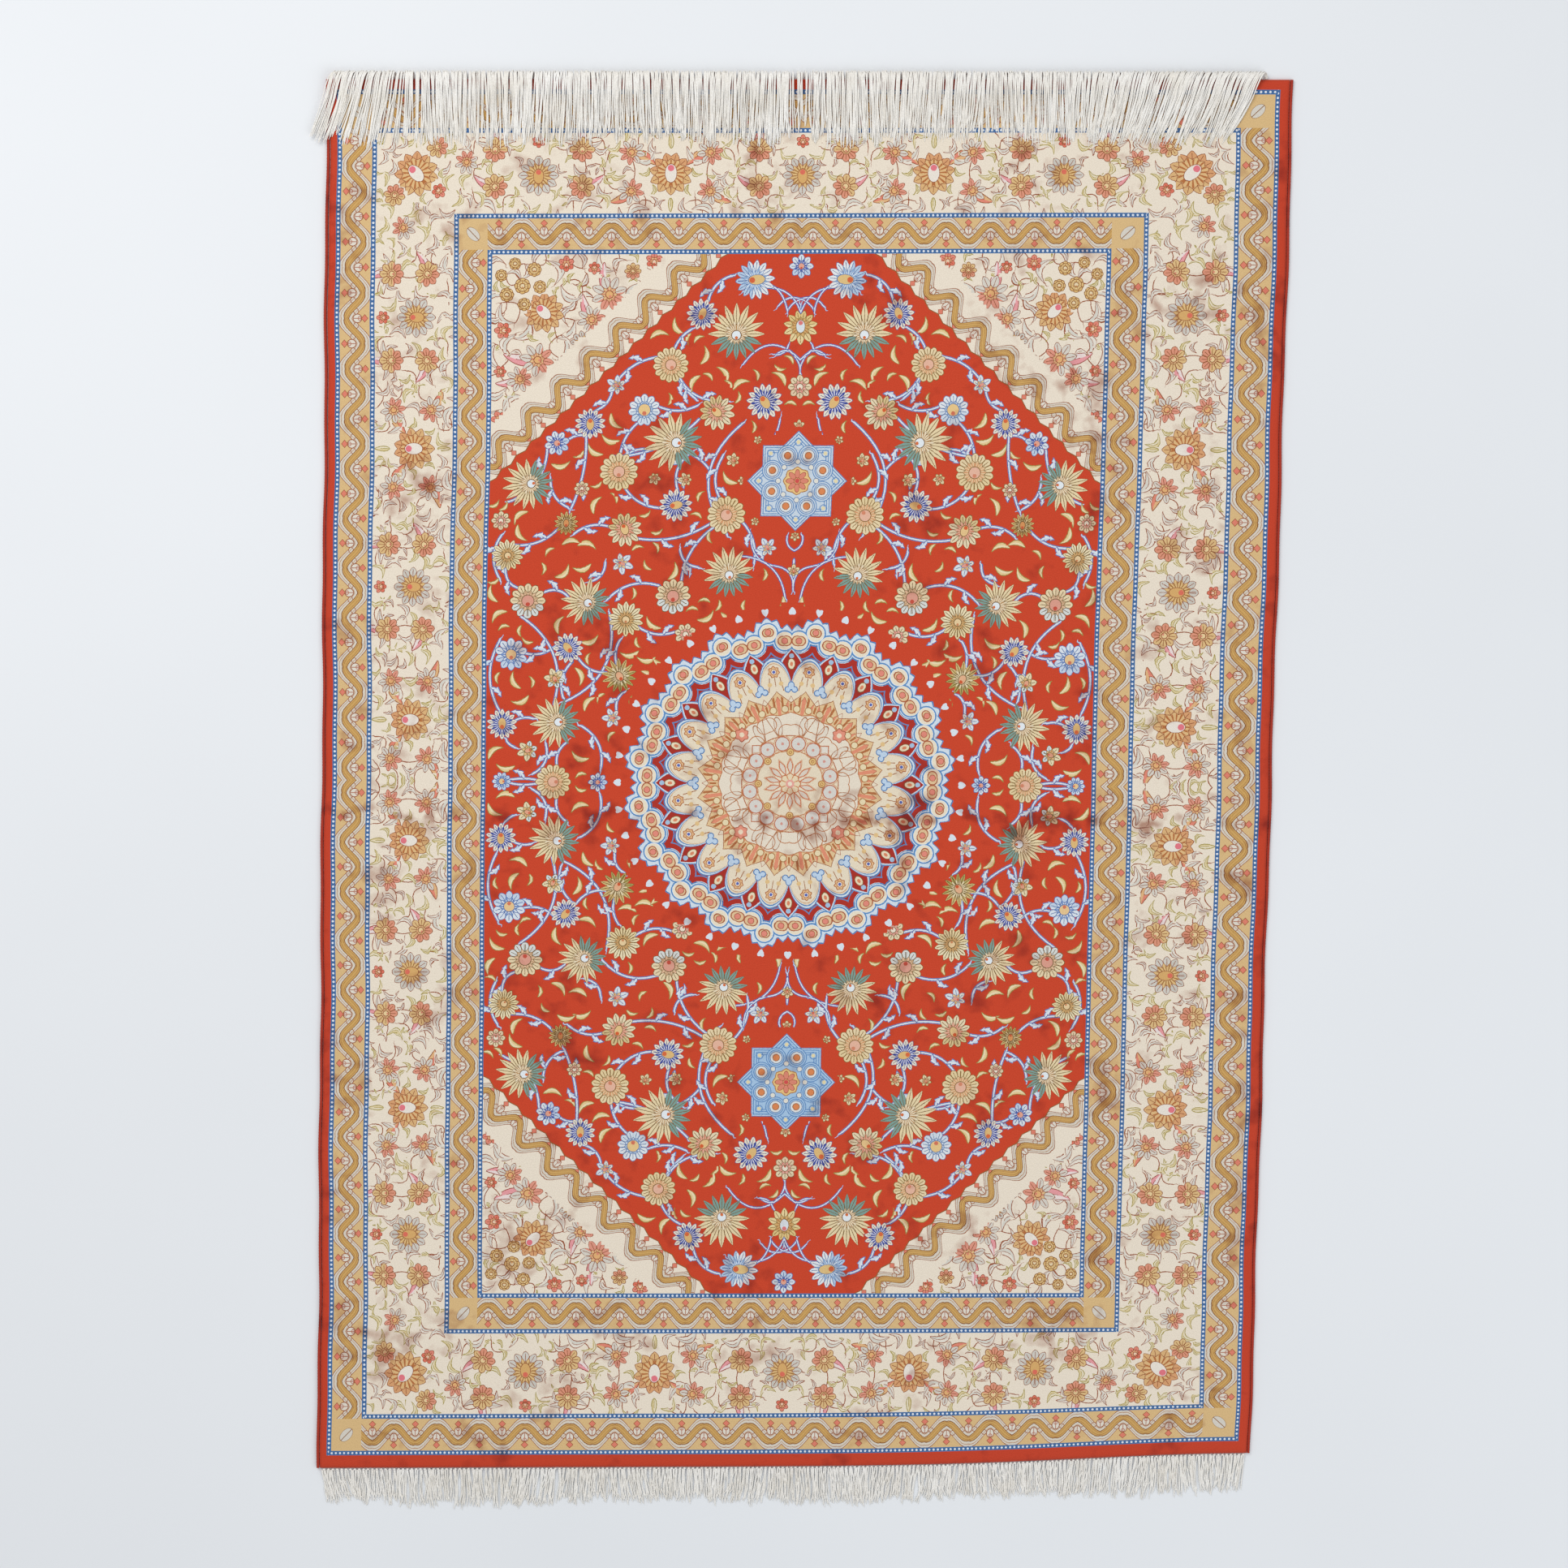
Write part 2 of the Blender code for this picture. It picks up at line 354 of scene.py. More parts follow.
# How each is cut: petals / 32, notch, roundness / 4; taller top, ring, its notch; heart,
# its slimness / 4, its offset + 0.5.
FLOWER_CUT = {
    "none": (0.25, 0.1, 0.5, 0.0, 0.5, 0.1, 0.2, 0.25, 0.5),
    "great": (0.50, 0.42, 0.24, 0.16, 0.42, 0.35, 0.15, 0.25, 0.46),
    "sky": (0.44, 0.30, 0.35, 0.10, 0.66, 0.45, 0.40, 0.42, 0.62),
    "navy": (0.44, 0.28, 0.35, 0.06, 0.76, 0.40, 0.38, 0.40, 0.56),
    "cream_rosette": (0.44, 0.16, 0.50, 0.00, 0.62, 0.22, 0.30, 0.25, 0.50),
    "blue_rosette": (0.34, 0.20, 0.45, 0.00, 0.56, 0.22, 0.38, 0.25, 0.50),
    "pink_palmette": (0.38, 0.30, 0.36, 0.14, 0.60, 0.40, 0.30, 0.36, 0.52),
    "chrysanthemum": (0.44, 0.26, 0.30, 0.08, 0.52, 0.40, 0.20, 0.25, 0.50),
    "brown_gold": (0.44, 0.34, 0.28, 0.10, 0.70, 0.50, 0.30, 0.36, 0.54),
    "round": (0.38, 0.20, 0.48, 0.00, 0.62, 0.30, 0.34, 0.25, 0.50),
    "small_blue": (0.25, 0.30, 0.40, 0.00, 0.60, 0.45, 0.26, 0.25, 0.50),
    "small_pink": (0.25, 0.26, 0.45, 0.00, 0.58, 0.35, 0.26, 0.25, 0.50),
    "lily": (0.19, 0.50, 0.34, 0.40, 0.56, 0.50, 0.28, 0.50, 0.60),
    "bud": (0.19, 0.40, 0.36, 0.40, 0.56, 0.40, 0.28, 0.45, 0.56),
    "axis_palmette": (0.34, 0.34, 0.34, 0.16, 0.60, 0.30, 0.34, 0.36, 0.52),
    "olive_spiky": (0.44, 0.42, 0.26, 0.14, 0.64, 0.50, 0.26, 0.34, 0.50),
    "leaf_flower": (0.19, 0.44, 0.34, 0.24, 0.56, 0.40, 0.28, 0.36, 0.54),
    "blue_white": (0.31, 0.24, 0.42, 0.04, 0.62, 0.36, 0.32, 0.25, 0.50),
    "border_gold": (0.34, 0.22, 0.30, 0.06, 0.72, 0.18, 0.42, 0.40, 0.50),
    "border_grey": (0.38, 0.22, 0.34, 0.06, 0.66, 0.30, 0.36, 0.38, 0.56),
    "border_lily": (0.25, 0.42, 0.36, 0.10, 0.44, 0.30, 0.20, 0.25, 0.50),
    "border_star": (0.25, 0.24, 0.44, 0.00, 0.40, 0.20, 0.22, 0.25, 0.50),
    "border_red": (0.19, 0.30, 0.44, 0.20, 0.50, 0.30, 0.26, 0.30, 0.44),
    "corner_ring": (0.25, 0.08, 0.50, 0.00, 0.66, 0.04, 0.30, 0.25, 0.50),
}
# Each leaf's dyes: its blade, its other half, its outline. Each stem's: core and outline.
LEAF_DYES = {
    "none": "c8371e c8371e c8371e",
    "comma": "efe0b8 e8cf98 a08a44",
    "fan": "e6ecf0 cfdcea 5c74b0",
    "border_leaf": "ece4d6 dcd8cc 9c5230",
    "border_olive": "ece0c4 e4d2a4 a89848",
    "petal_gold": "e6b884 e68a74 9c5a30",
    "petal_pink": "f0e0dc eca0a4 a04c3c",
}
VINE_DYES = {
    "none": "c8371e c8371e",
    "vine": "dce4ee 5878b4",
    "strap": "e2e8f2 4f66ac",
    "scroll": "9c5230 a05834",
}
VINE_CUT = {  # half width of the core, of the whole, and nothing
    "none": (0.0, 0.0, 0.0), "vine": (0.85, 1.75, 0.0), "strap": (0.6, 1.4, 0.0),
    "scroll": (0.3, 0.5, 0.0),
}
# The kinds of flower, leaf and stem, each known by its place in these rows.
FLOWERS, LEAVES, VINES = tuple(FLOWER_DYES), tuple(LEAF_DYES), tuple(VINE_DYES)

# One quarter of the pattern, squared up. Each motif is (across, along) from the middle of
# the rug, its width and where it points, in mm and degrees, 0 towards the end of the rug
# and 90 towards its side. Each goes by the name of its flower.
FIELD_FLOWERS = """
great 67 472 66 0, great 129 359 69 80, great 279 315 60 100, great 68 221 60 15,
great 216 190 58 60, great 246 63 60 95, sky 49 528 44 -85, navy 103 492 35 -20,
navy 37 402 40 215, navy 218 379 34 180, navy 127 293 37 -80, navy 235 141 34 40,
navy 304 60 34 0, cream_rosette 135 440 38 20, cream_rosette 187 328 41 0,
cream_rosette 250 0 38 90, blue_rosette 162 393 34 0, pink_palmette 87 391 41 230,
pink_palmette 179 268 40 200, chrysanthemum 300 239 36 30, chrysanthemum 175 172 40 0,
brown_gold 240 273 28 0, cream_rosette 73 283 41 150, round 126 197 38 0,
round 278 191 38 0, small_blue 252 358 27 60, small_blue 0 542 26 0, blue_white 295 134 36 0,
blue_white 304 0 21 90, small_pink 0 417 26 0, small_pink 308 276 21 0,
small_pink 225 310 17 0, small_pink 112 157 24 30, small_blue 203 0 21 90,
lily 190 418 26 60, lily 28 248 26 30, lily 182 232 29 250, lily 187 68 26 90,
bud 67 340 19 60, bud 150 322 17 200, bud 116 320 19 90, axis_palmette 0 480 40 180,
bud 0 224 17 0, olive_spiky 181 112 41 30, leaf_flower 249 108 26 20,
leaf_flower 276 33 26 110, bud 0 376 15 0, bud 42 361 12 45, bud 42 277 12 135,
bud 57 319 12 90, bud 0 262 13 180
"""
# Vines go from flower to flower in arcs: start, end, and how far the arc stands out to
# the left of that way, as a share of its length.
FIELD_VINES = """
vine 70 533 97 505 0.16, vine 112 478 132 455 0.10, vine 150 448 190 424 0.10,
vine 196 412 214 392 -0.15, vine 222 366 240 362 0.12, vine 222 366 236 288 -0.06,
vine 126 424 108 404 0.05, vine 106 398 146 396 -0.12, vine 132 446 76 402 0.22,
vine 104 384 190 344 -0.10, vine 168 380 186 346 0.10, vine 110 350 124 306 0.20,
vine 140 290 182 314 -0.14, vine 58 380 71 262 0.24, vine 78 346 78 296 0.16,
vine 258 320 238 290 0.16, vine 232 262 194 270 -0.14, vine 166 258 86 276 0.10,
vine 248 268 292 250 -0.12, vine 302 224 286 204 0.20, vine 198 232 214 212 -0.2,
vine 140 208 196 192 0.16, vine 56 276 42 232 -0.12, vine 86 270 118 208 0.12,
vine 236 196 262 200 0.18, vine 284 174 250 82 -0.18, vine 180 152 184 124 0.12,
vine 192 178 240 84 -0.20, vine 164 166 122 160 0.14, vine 230 128 240 88 0.16,
vine 248 144 282 136 -0.14, vine 224 130 196 116 0.14, vine 176 96 184 76 0.16,
vine 270 66 294 62 0.14, vine 300 44 290 36 0.10, vine 236 42 246 16 0.16,
vine 258 40 272 8 -0.20, vine 222 60 200 14 -0.18, vine 268 2 294 2 0.05,
vine 92 330 128 352 0.10, vine 160 352 182 344 0.10, vine 300 296 262 352 0.16,
vine 306 262 308 214 0.16, vine 306 150 308 76 0.14, vine 120 246 100 228 0.2,
strap 36 520 0 494 -0.18, strap 60 516 14 496 -0.34, strap 14 496 0 508 -0.1,
strap 0 508 24 500 0.2, strap 0 494 0 503 0.02, strap 12 462 26 450 -0.2,
strap 26 450 4 446 -0.3, strap 4 446 0 430 -0.1, strap 0 445 60 440 0.30,
strap 20 384 26 364 -0.05, strap 0 204 22 230 0.25, strap 22 230 46 262 -0.2,
strap 0 238 0 208 0.02, strap 8 196 56 240 0.20, strap 8 262 0 246 0.2
"""
LEAF_WIDTHS = {"comma": 0.30, "fan": 0.52, "border_leaf": 0.36, "border_olive": 0.34,
               "petal_gold": 0.40, "petal_pink": 0.36}


# In mm: the field's half width and half length, the medallion, the pendants, and the
# slanting band across each corner of the field, by its slope and its distance from there.
FIELD_SIDE, FIELD_END = 323.3, 557.2
MEDALLION_REACH = 190.0
PENDANT_CENTRE = 319.0
PENDANT_REACH = 55.0
BAND_SLOPE = 1.02
BAND_REACH = 250.0


def listed(text):
    """Each entry of a list of motifs: its name and its numbers."""
    for entry in text.split(","):
        name, *numbers = entry.split()
        yield name, [float(number) for number in numbers]


flowers, leaves, vines = [], [], []
for name, (across, along, width, turn) in listed(FIELD_FLOWERS):
    flowers.append((across, along, width / 2, turn, name))


def arc(start, end, bulge, steps=14):
    """Points along a stretch of stem between two places, standing out to its left."""
    (x0, y0), (x1, y1) = start, end
    shares = np.linspace(0.0, 1.0, steps)
    out = 4 * bulge * shares * (1 - shares)
    return np.stack(
        [x0 + (x1 - x0) * shares - (y1 - y0) * out, y0 + (y1 - y0) * shares + (x1 - x0) * out], 1
    )


def ahead_of(spot, turn, distance):
    """The place some way from a spot, in the direction that a motif there points."""
    way = math.radians(turn)
    return spot[0] + distance * math.sin(way), spot[1] + distance * math.cos(way)


def add_leaf(base, turn, length, name, bend):
    leaves.append((base[0], base[1], length, turn, name, bend))


weaver = random.Random(7)
for name, (x0, y0, x1, y1, bulge) in listed(FIELD_VINES):
    path = arc((x0, y0), (x1, y1), bulge)
    vines.append((path, name))
    reach = math.hypot(x1 - x0, y1 - y0)
    if name == "strap" or reach < 18:
        continue
    for share, side in ((0.30, 1), (0.66, -1)) if reach > 34 else ((0.45, 1),):
        spot = path[round(share * (len(path) - 1))]
        ahead = path[min(len(path) - 1, round(share * (len(path) - 1)) + 1)] - spot
        heading = math.degrees(math.atan2(ahead[0], ahead[1]))
        side *= 1 if (x0 + y1) % 2 else -1
        add_leaf(spot, heading + side * 34, 15.0, "fan", 0.16 * side)

# Small cream leaves fill what is left of the field, thrown like darts and kept where
# there is room for one.
def room(spot, reach, taken):
    return all(math.dist(spot, other[:2]) > reach + other[2] for other in taken)


taken = [(across, along, size + 1) for across, along, size, turn, name in flowers]
taken += [(*point, 3.0) for path, name in vines for point in path]
taken += [(*ahead_of(leaf, leaf[3], 8), 6) for leaf in leaves]
for length in [20.0] * 700 + [13.0] * 900:
    spot = (weaver.uniform(4, 318), weaver.uniform(4, 552))
    a, b = FIELD_SIDE - spot[0], FIELD_END - spot[1]
    on_pendant = math.hypot(spot[0], spot[1] - PENDANT_CENTRE) < PENDANT_REACH + 1
    on_medallion = math.hypot(*spot) < MEDALLION_REACH - 4
    if a + BAND_SLOPE * b < BAND_REACH + 12 or on_medallion or on_pendant:
        continue
    if room(spot, length * 0.30, taken):
        turn = weaver.uniform(0, 360)
        base = ahead_of(spot, turn, -length / 2)
        add_leaf(base, turn, length, "comma", weaver.choice((-0.24, 0.24)))
        taken.append((*spot, length * 0.42))

# The border is counted along from the middle of each end and of each side. Its flowers
# stand on both sides of a gold palmette and of a grey one, facing the field.
END_CENTRE = 640.0
SIDE_CENTRE = 405.2
GOLD_NEIGHBOURS = (  # along, outwards, size, turn, name
    (0, 0, 47, 0, "border_gold"), (41, -19, 30, 55, "border_lily"), (41, 22, 30, -125, "border_lily"),
)
GREY_NEIGHBOURS = (
    (0, -2, 44, 0, "border_grey"), (45, 25, 27, 180, "border_star"), (45, -14, 27, 130, "border_star"),
    (0, 33, 16, 180, "border_red"),
)
GOLD_LEAVES = (  # along, outwards, turn, length, bend, name
    (0, -26, 0, 15, 0.0, "border_olive"), (0, 26, 180, 17, 0.0, "border_olive"),
    (16, 28, 70, 28, 0.4, "border_leaf"), (22, -38, 60, 26, -0.36, "border_leaf"),
    (28, 40, 118, 24, -0.4, "border_leaf"), (22, 6, 60, 13, 0.4, "border_olive"),
    (18, -12, 15, 12, 0.3, "border_olive"), (57, 2, 100, 16, 0.4, "border_olive"),
    (30, 12, 150, 14, -0.4, "border_olive"), (54, -36, 300, 20, -0.4, "border_leaf"),
    (41, -19, 62, 25, 0.1, "petal_gold"), (41, 22, -62, 28, 0.1, "petal_gold"),
)
GREY_LEAVES = (
    (24, 34, 40, 26, -0.4, "border_leaf"), (20, -38, 50, 24, 0.4, "border_leaf"),
    (26, 2, 80, 16, 0.4, "border_olive"), (66, 34, 250, 22, -0.4, "border_leaf"),
    (66, -36, 290, 24, 0.4, "border_leaf"), (60, 4, 160, 14, 0.4, "border_olive"),
    (24, -14, 20, 13, 0.4, "border_olive"), (45, 25, 190, 26, 0.1, "petal_pink"),
    (45, -14, 118, 26, 0.1, "petal_pink"), (30, 18, 130, 16, -0.4, "border_leaf"),
)
GOLD_SCROLLS = (  # along and outwards at the start and the end, and the bulge
    (18, 40, 34, 30, 0.5), (20, -30, 32, -40, 0.5), (26, -26, 40, -38, -0.4),
    (44, 40, 66, 40, 0.3), (41, -14, 41, 16, 0.12), (50, -16, 66, -6, -0.3), (50, 26, 66, 14, 0.3),
)
GREY_SCROLLS = (
    (20, 26, 36, 38, -0.4), (22, -24, 36, -36, 0.4), (45, 19, 45, -8, 0.15),
    (52, 36, 68, 24, 0.4), (52, -30, 68, -20, -0.4), (56, 10, 68, -2, 0.3),
)


def on_border(along, out, turn, at_end):
    """A place on the border and where it points, from a place along it."""
    if at_end:
        return along, END_CENTRE + out, 180 + turn
    return SIDE_CENTRE + out, along, 270 - turn


for at_end, golds, greys in ((True, (137,), (0, 274)), (False, (64, 352), (205, 490))):
    for spots, around, sprigs, scrolls in (
        (golds, GOLD_NEIGHBOURS, GOLD_LEAVES, GOLD_SCROLLS),
        (greys, GREY_NEIGHBOURS, GREY_LEAVES, GREY_SCROLLS),
    ):
        for middle in spots:
            for side in (1, -1):
                for along, out, size, turn, name in around:
                    if along or side == 1:
                        spot = on_border(middle + side * along, out, side * -turn, at_end)
                        flowers.append((*spot[:2], size / 2, spot[2], name))
                for along, out, turn, length, bend, name in sprigs:
                    if along or side == 1:
                        spot = on_border(middle + side * along, out, side * -turn, at_end)
                        bend *= side if at_end else -side
                        add_leaf(spot[:2], spot[2], length, name, bend)
                for start, low, end, high, bulge in scrolls:
                    first = on_border(middle + side * start, low, 0, at_end)[:2]
                    last = on_border(middle + side * end, high, 0, at_end)[:2]
                    vines.append((arc(first, last, bulge * side), "scroll"))
for across, along, size, turn, name in (
    (405, 640, 50, 225, "border_gold"), (382, 668, 24, 100, "border_star"),
    (428, 617, 24, 170, "border_star"), (380, 622, 18, 225, "border_red"),
    (350, 652, 28, 200, "border_lily"), (418, 583, 28, 250, "border_lily"),
):
    flowers.append((across, along, size / 2, turn, name))

# The four corners of the field: three palmettes with long petals, gold rings in the very
# corner and open scrolls, all outlined in brown. Distances are from the field's corner.
CORNER_FLOWERS = """
border_lily 124 44 40 20, border_lily 142 68 32 -20, border_lily 106 70 32 60,
border_gold 56 62 44 225, border_lily 50 112 38 80, border_lily 32 132 30 110,
border_grey 98 96 32 225, border_red 170 10 20 0, border_red 79 13 19 0,
border_red 15 81 20 90, border_red 12 174 20 90, border_star 62 150 28 150,
border_star 178 34 26 -40, border_star 148 20 18 0, border_red 108 16 15 180,
border_red 28 206 16 60, corner_ring 34 35 17 0, corner_ring 18 44 15 0,
corner_ring 46 18 15 0, corner_ring 12 24 13 0, corner_ring 26 12 13 0,
corner_ring 52 36 14 0, corner_ring 36 54 14 0, border_red 96 128 18 225,
border_red 12 124 15 90
"""
CORNER_PETALS = (
    (124, 44, 10, 34, "petal_pink"), (142, 68, -10, 28, "petal_pink"), (106, 70, 20, 28, "petal_pink"),
    (50, 112, 80, 36, "petal_pink"), (32, 132, 100, 26, "petal_pink"), (56, 62, 225, 20, "border_olive"),
)
for name, (a, b, width, turn) in listed(CORNER_FLOWERS):
    flowers.append((FIELD_SIDE - a, FIELD_END - b, width / 2, turn, name))
for a, b, turn, length, name in CORNER_PETALS:
    add_leaf((FIELD_SIDE - a, FIELD_END - b), turn, length, name, 0.08)
filled = [
    (across, along, size) for across, along, size, turn, name in flowers if across + along > 600
]
for length in [26.0] * 900 + [17.0] * 1600 + [12.0] * 1500:
    a, b = weaver.uniform(5, 245), weaver.uniform(5, 240)
    spot = (FIELD_SIDE - a, FIELD_END - b)
    if a + BAND_SLOPE * b > BAND_REACH - 42 or not room(spot, length * 0.24, filled):
        continue
    turn = weaver.uniform(0, 360)
    base = ahead_of(spot, turn, -length / 2)
    name = "border_leaf" if length > 13 else "border_olive"
    add_leaf(base, turn, length, name, weaver.choice((-0.42, -0.3, 0.3, 0.42)))
    if length > 16:
        tip = (2 * spot[0] - base[0], 2 * spot[1] - base[1])
        vines.append((arc(base, tip, weaver.choice((-0.5, 0.5))), "scroll"))
    filled.append((*spot, length * 0.34))
# The same kind of open scrolls fills what is left of the border.
filled = [(across, along, size) for across, along, size, turn, name in flowers]
filled += [(*ahead_of(leaf, leaf[3], leaf[2] / 2), leaf[2] * 0.3) for leaf in leaves]
for length in [18.0] * 1400 + [12.0] * 1800:
    if weaver.random() < 0.42:
        spot = (weaver.uniform(0, 446), weaver.uniform(600, 680))
    else:
        spot = (weaver.uniform(365, 446), weaver.uniform(0, 680))
    if room(spot, length * 0.27, filled):
        turn = weaver.uniform(0, 360)
        base = ahead_of(spot, turn, -length / 2)
        add_leaf(base, turn, length, weaver.choice(("border_leaf", "border_olive")),
                 weaver.choice((-0.45, 0.45)))
        filled.append((*spot, length * 0.36))

# Each face of the cloth is told which flower, leaf and stems it is on, and each of its
# corners where it is on them, in mm.
cloth = mesh_piece("knotted_cloth", bm, [])
mesh = cloth.data
starts = np.empty(len(mesh.polygons), dtype=np.int32)
totals = np.empty(len(mesh.polygons), dtype=np.int32)
corner_vertex = np.empty(len(mesh.loops), dtype=np.int32)
mesh.polygons.foreach_get("loop_start", starts)
mesh.polygons.foreach_get("loop_total", totals)
mesh.loops.foreach_get("vertex_index", corner_vertex)
heights = np.empty(len(mesh.vertices) * 3)
mesh.vertices.foreach_get("co", heights)
heights = heights.reshape(-1, 3)
# The hem's vertices follow the grid's and lie under its rim, in the order of their edges.
plan = np.vstack([plan, np.zeros((len(mesh.vertices) - len(plan), 2))])
for edge in mesh.edges:
    upper, lower = sorted(edge.vertices)
    if lower >= len(columns) * len(rows) > upper:
        plan[lower] = plan[upper]
across = squared_up(plan[:, 0], LEFT_LINES, RIGHT_LINES, SQUARED_ACROSS) * 1000
along = squared_up(plan[:, 1], BOTTOM_LINES, TOP_LINES, SQUARED_ALONG) * 1000
spots = np.stack([across, along], 1)
corners = spots[corner_vertex]
owner = np.repeat(np.arange(len(starts)), totals)
middles = np.add.reduceat(corners, starts) / totals[:, None]


def nearest_stamps(shapes, places, barred=None):
    """Which shape each face is on, where its corners are on it, and the shape's size."""
    best = np.full(len(starts), 1e9)
    held = np.zeros(len(starts), dtype=np.int32)
    for number, (left, right, low, high, measure) in enumerate(shapes, 1):
        close = np.flatnonzero(
            (middles[:, 0] > left) & (middles[:, 0] < right)
            & (middles[:, 1] > low) & (middles[:, 1] < high)
        )
        if len(close):
            score = measure(middles[close])
            if barred is not None:
                score[barred[close] == number] = 9.0
            wins = (score < best[close]) & (score < 1.0)
            best[close[wins]] = score[wins]
            held[close[wins]] = number
    found = np.zeros((len(corners), 4), dtype=np.float32)
    found[:, :2] = 900.0
    whose = held[owner]
    for number in range(1, len(shapes) + 1):
        mine = np.flatnonzero(whose == number)
        if len(mine):
            found[mine] = places(number - 1, corners[mine])
    return found, held


def turned_to(points, spot, turn):
    """Places as seen from a motif: across it and along the way that it points."""
    step = points - np.array(spot)
    sine, cosine = math.sin(math.radians(turn)), math.cos(math.radians(turn))
    return step[:, 0] * cosine - step[:, 1] * sine, step[:, 0] * sine + step[:, 1] * cosine


def flower_shape(flower):
    x0, y0, size, turn, name = flower
    reach = size + 4.5
    return (x0 - reach, x0 + reach, y0 - reach, y0 + reach,
            lambda points: np.hypot(points[:, 0] - x0, points[:, 1] - y0) / (size + 3.5))


def flower_places(number, points):
    x0, y0, size, turn, name = flowers[number]
    u, v = turned_to(points, (x0, y0), turn)
    return np.stack([u, v, np.full(len(u), FLOWERS.index(name)), np.full(len(u), size)], 1)


def leaf_shape(leaf):
    x0, y0, length, turn, name, bend = leaf
    width = length * LEAF_WIDTHS[name] + 2.0
    def measure(points):
        u, v = turned_to(points, (x0, y0), turn)
        share = np.clip(v / length, 0.0, 1.0)
        u = u - 4 * bend * length * share * (1 - share)
        return np.hypot(u, np.maximum(np.maximum(-v, v - length), 0.0)) / width
    reach = length + 5
    return x0 - reach, x0 + reach, y0 - reach, y0 + reach, measure


def leaf_places(number, points):
    x0, y0, length, turn, name, bend = leaves[number]
    u, v = turned_to(points, (x0, y0), turn)
    share = v / length
    bow = 4 * bend * length * share * (1 - share)
    return np.stack([u - bow, share, np.full(len(u), LEAVES.index(name)), np.full(len(u), length)], 1)


def beside(path, points):
    """Signed distance from a stem, and how far along it, for each of the points."""
    start, step = path[:-1], np.diff(path, axis=0)
    reach = np.hypot(step[:, 0], step[:, 1])
    away = points[:, None, :] - start[None]
    share = np.clip((away * step).sum(2) / reach**2, 0.0, 1.0)
    apart = away - share[..., None] * step
    distance = np.hypot(apart[..., 0], apart[..., 1])
    pick = distance.argmin(1)
    row = np.arange(len(points))
    side = np.sign(step[pick, 0] * away[row, pick, 1] - step[pick, 1] * away[row, pick, 0])
    before = np.concatenate([[0.0], np.cumsum(reach)])[pick]
    return distance[row, pick] * side, before + share[row, pick] * reach[pick]


def vine_shape(vine):
    path = vine[0]
    low, high = path.min(0) - 7, path.max(0) + 7
    return low[0], high[0], low[1], high[1], lambda points: abs(beside(path, points)[0]) / 6.0


def vine_places(number, points):
    path, name = vines[number]
    aside, passed = beside(path, points)
    kind = np.full(len(points), VINES.index(name))
    return np.stack([aside, passed, kind, np.full(len(points), 1.0)], 1)


def keep(name, values):
    layer = mesh.attributes.new(name, "FLOAT_COLOR", "CORNER")
    layer.data.foreach_set("color", values.astype(np.float32).ravel())


keep("flower", nearest_stamps([flower_shape(flower) for flower in flowers], flower_places)[0])
keep("leaf", nearest_stamps([leaf_shape(leaf) for leaf in leaves], leaf_places)[0])
shapes = [vine_shape(vine) for vine in vines]
placed, uppermost = nearest_stamps(shapes, vine_places)
keep("vine", placed)
keep("vine_under", nearest_stamps(shapes, vine_places, uppermost)[0])


# Which part of the pattern each face belongs to, counted from the middle outwards: the
# field, then line, guard, line, border, line, guard, line and the plain edge.
REGIONS = (
    "field", "dots", "guard", "dots", "border", "dots", "guard", "dots", "edge",
    "medallion", "pendant", "back",
)
HALF_PERIODS = {2: (14, 21), 6: (19, 26)}  # of a guard's ribbon: along an end and a side
BAND_WIDTH = 40.0
BAND_PERIOD = 21.0


def cuts(lines):
    found = [0.0]
    for line in lines[:-1]:
        found += [1000 * (line - DOTS_HALF), 1000 * (line + DOTS_HALF)]
    return np.array(found + [1000 * lines[-1]])


cuts_across, cuts_along = cuts(SQUARED_ACROSS), cuts(SQUARED_ALONG)
depth_across = np.interp(middles[:, 0], cuts_across, np.arange(10))
depth_along = np.interp(middles[:, 1], cuts_along, np.arange(10))
region = np.minimum(np.maximum(depth_across, depth_along), 8.999).astype(np.int32)
at_end = (depth_along >= depth_across)[owner]
face_corners = region[owner]
low = np.where(at_end, cuts_along[face_corners], cuts_across[face_corners])
high = np.where(at_end, cuts_along[face_corners + 1], cuts_across[face_corners + 1])
out = np.where(at_end, corners[:, 1], corners[:, 0]) - (low + high) / 2
run = np.where(at_end, corners[:, 0], corners[:, 1])
strip = np.zeros((len(corners), 4), dtype=np.float32)
strip[:, 0], strip[:, 1] = run, out
for number, (end_count, side_count) in HALF_PERIODS.items():
    inner_x, inner_y = cuts_across[number], cuts_along[number]
    mine = face_corners == number
    strip[mine, 0] *= np.where(at_end[mine], end_count / inner_x, side_count / inner_y)
    square = ((depth_across >= number) & (depth_along >= number))[owner] & mine
    middle_x = (cuts_across[number] + cuts_across[number + 1]) / 2
    middle_y = (cuts_along[number] + cuts_along[number + 1]) / 2
    slant_x, slant_y = corners[square, 0] - middle_x, corners[square, 1] - middle_y
    strip[square, 0] = (slant_x - slant_y) * math.sqrt(0.5)
    strip[square, 1] = (slant_x + slant_y) * math.sqrt(0.5)
    strip[square, 2] = 1.0
norm = math.hypot(1.0, BAND_SLOPE)
into = (BAND_REACH - (FIELD_SIDE - corners[:, 0]) - BAND_SLOPE * (FIELD_END - corners[:, 1])) / norm
drift = (BAND_SLOPE * corners[:, 0] - corners[:, 1]) / norm
in_field = face_corners == 0
strip[in_field, 0] = drift[in_field] / BAND_PERIOD
strip[in_field, 1] = into[in_field]
beyond = np.add.reduceat(into, starts) / totals
region[(region == 0) & (beyond > BAND_WIDTH + 5)] = 4
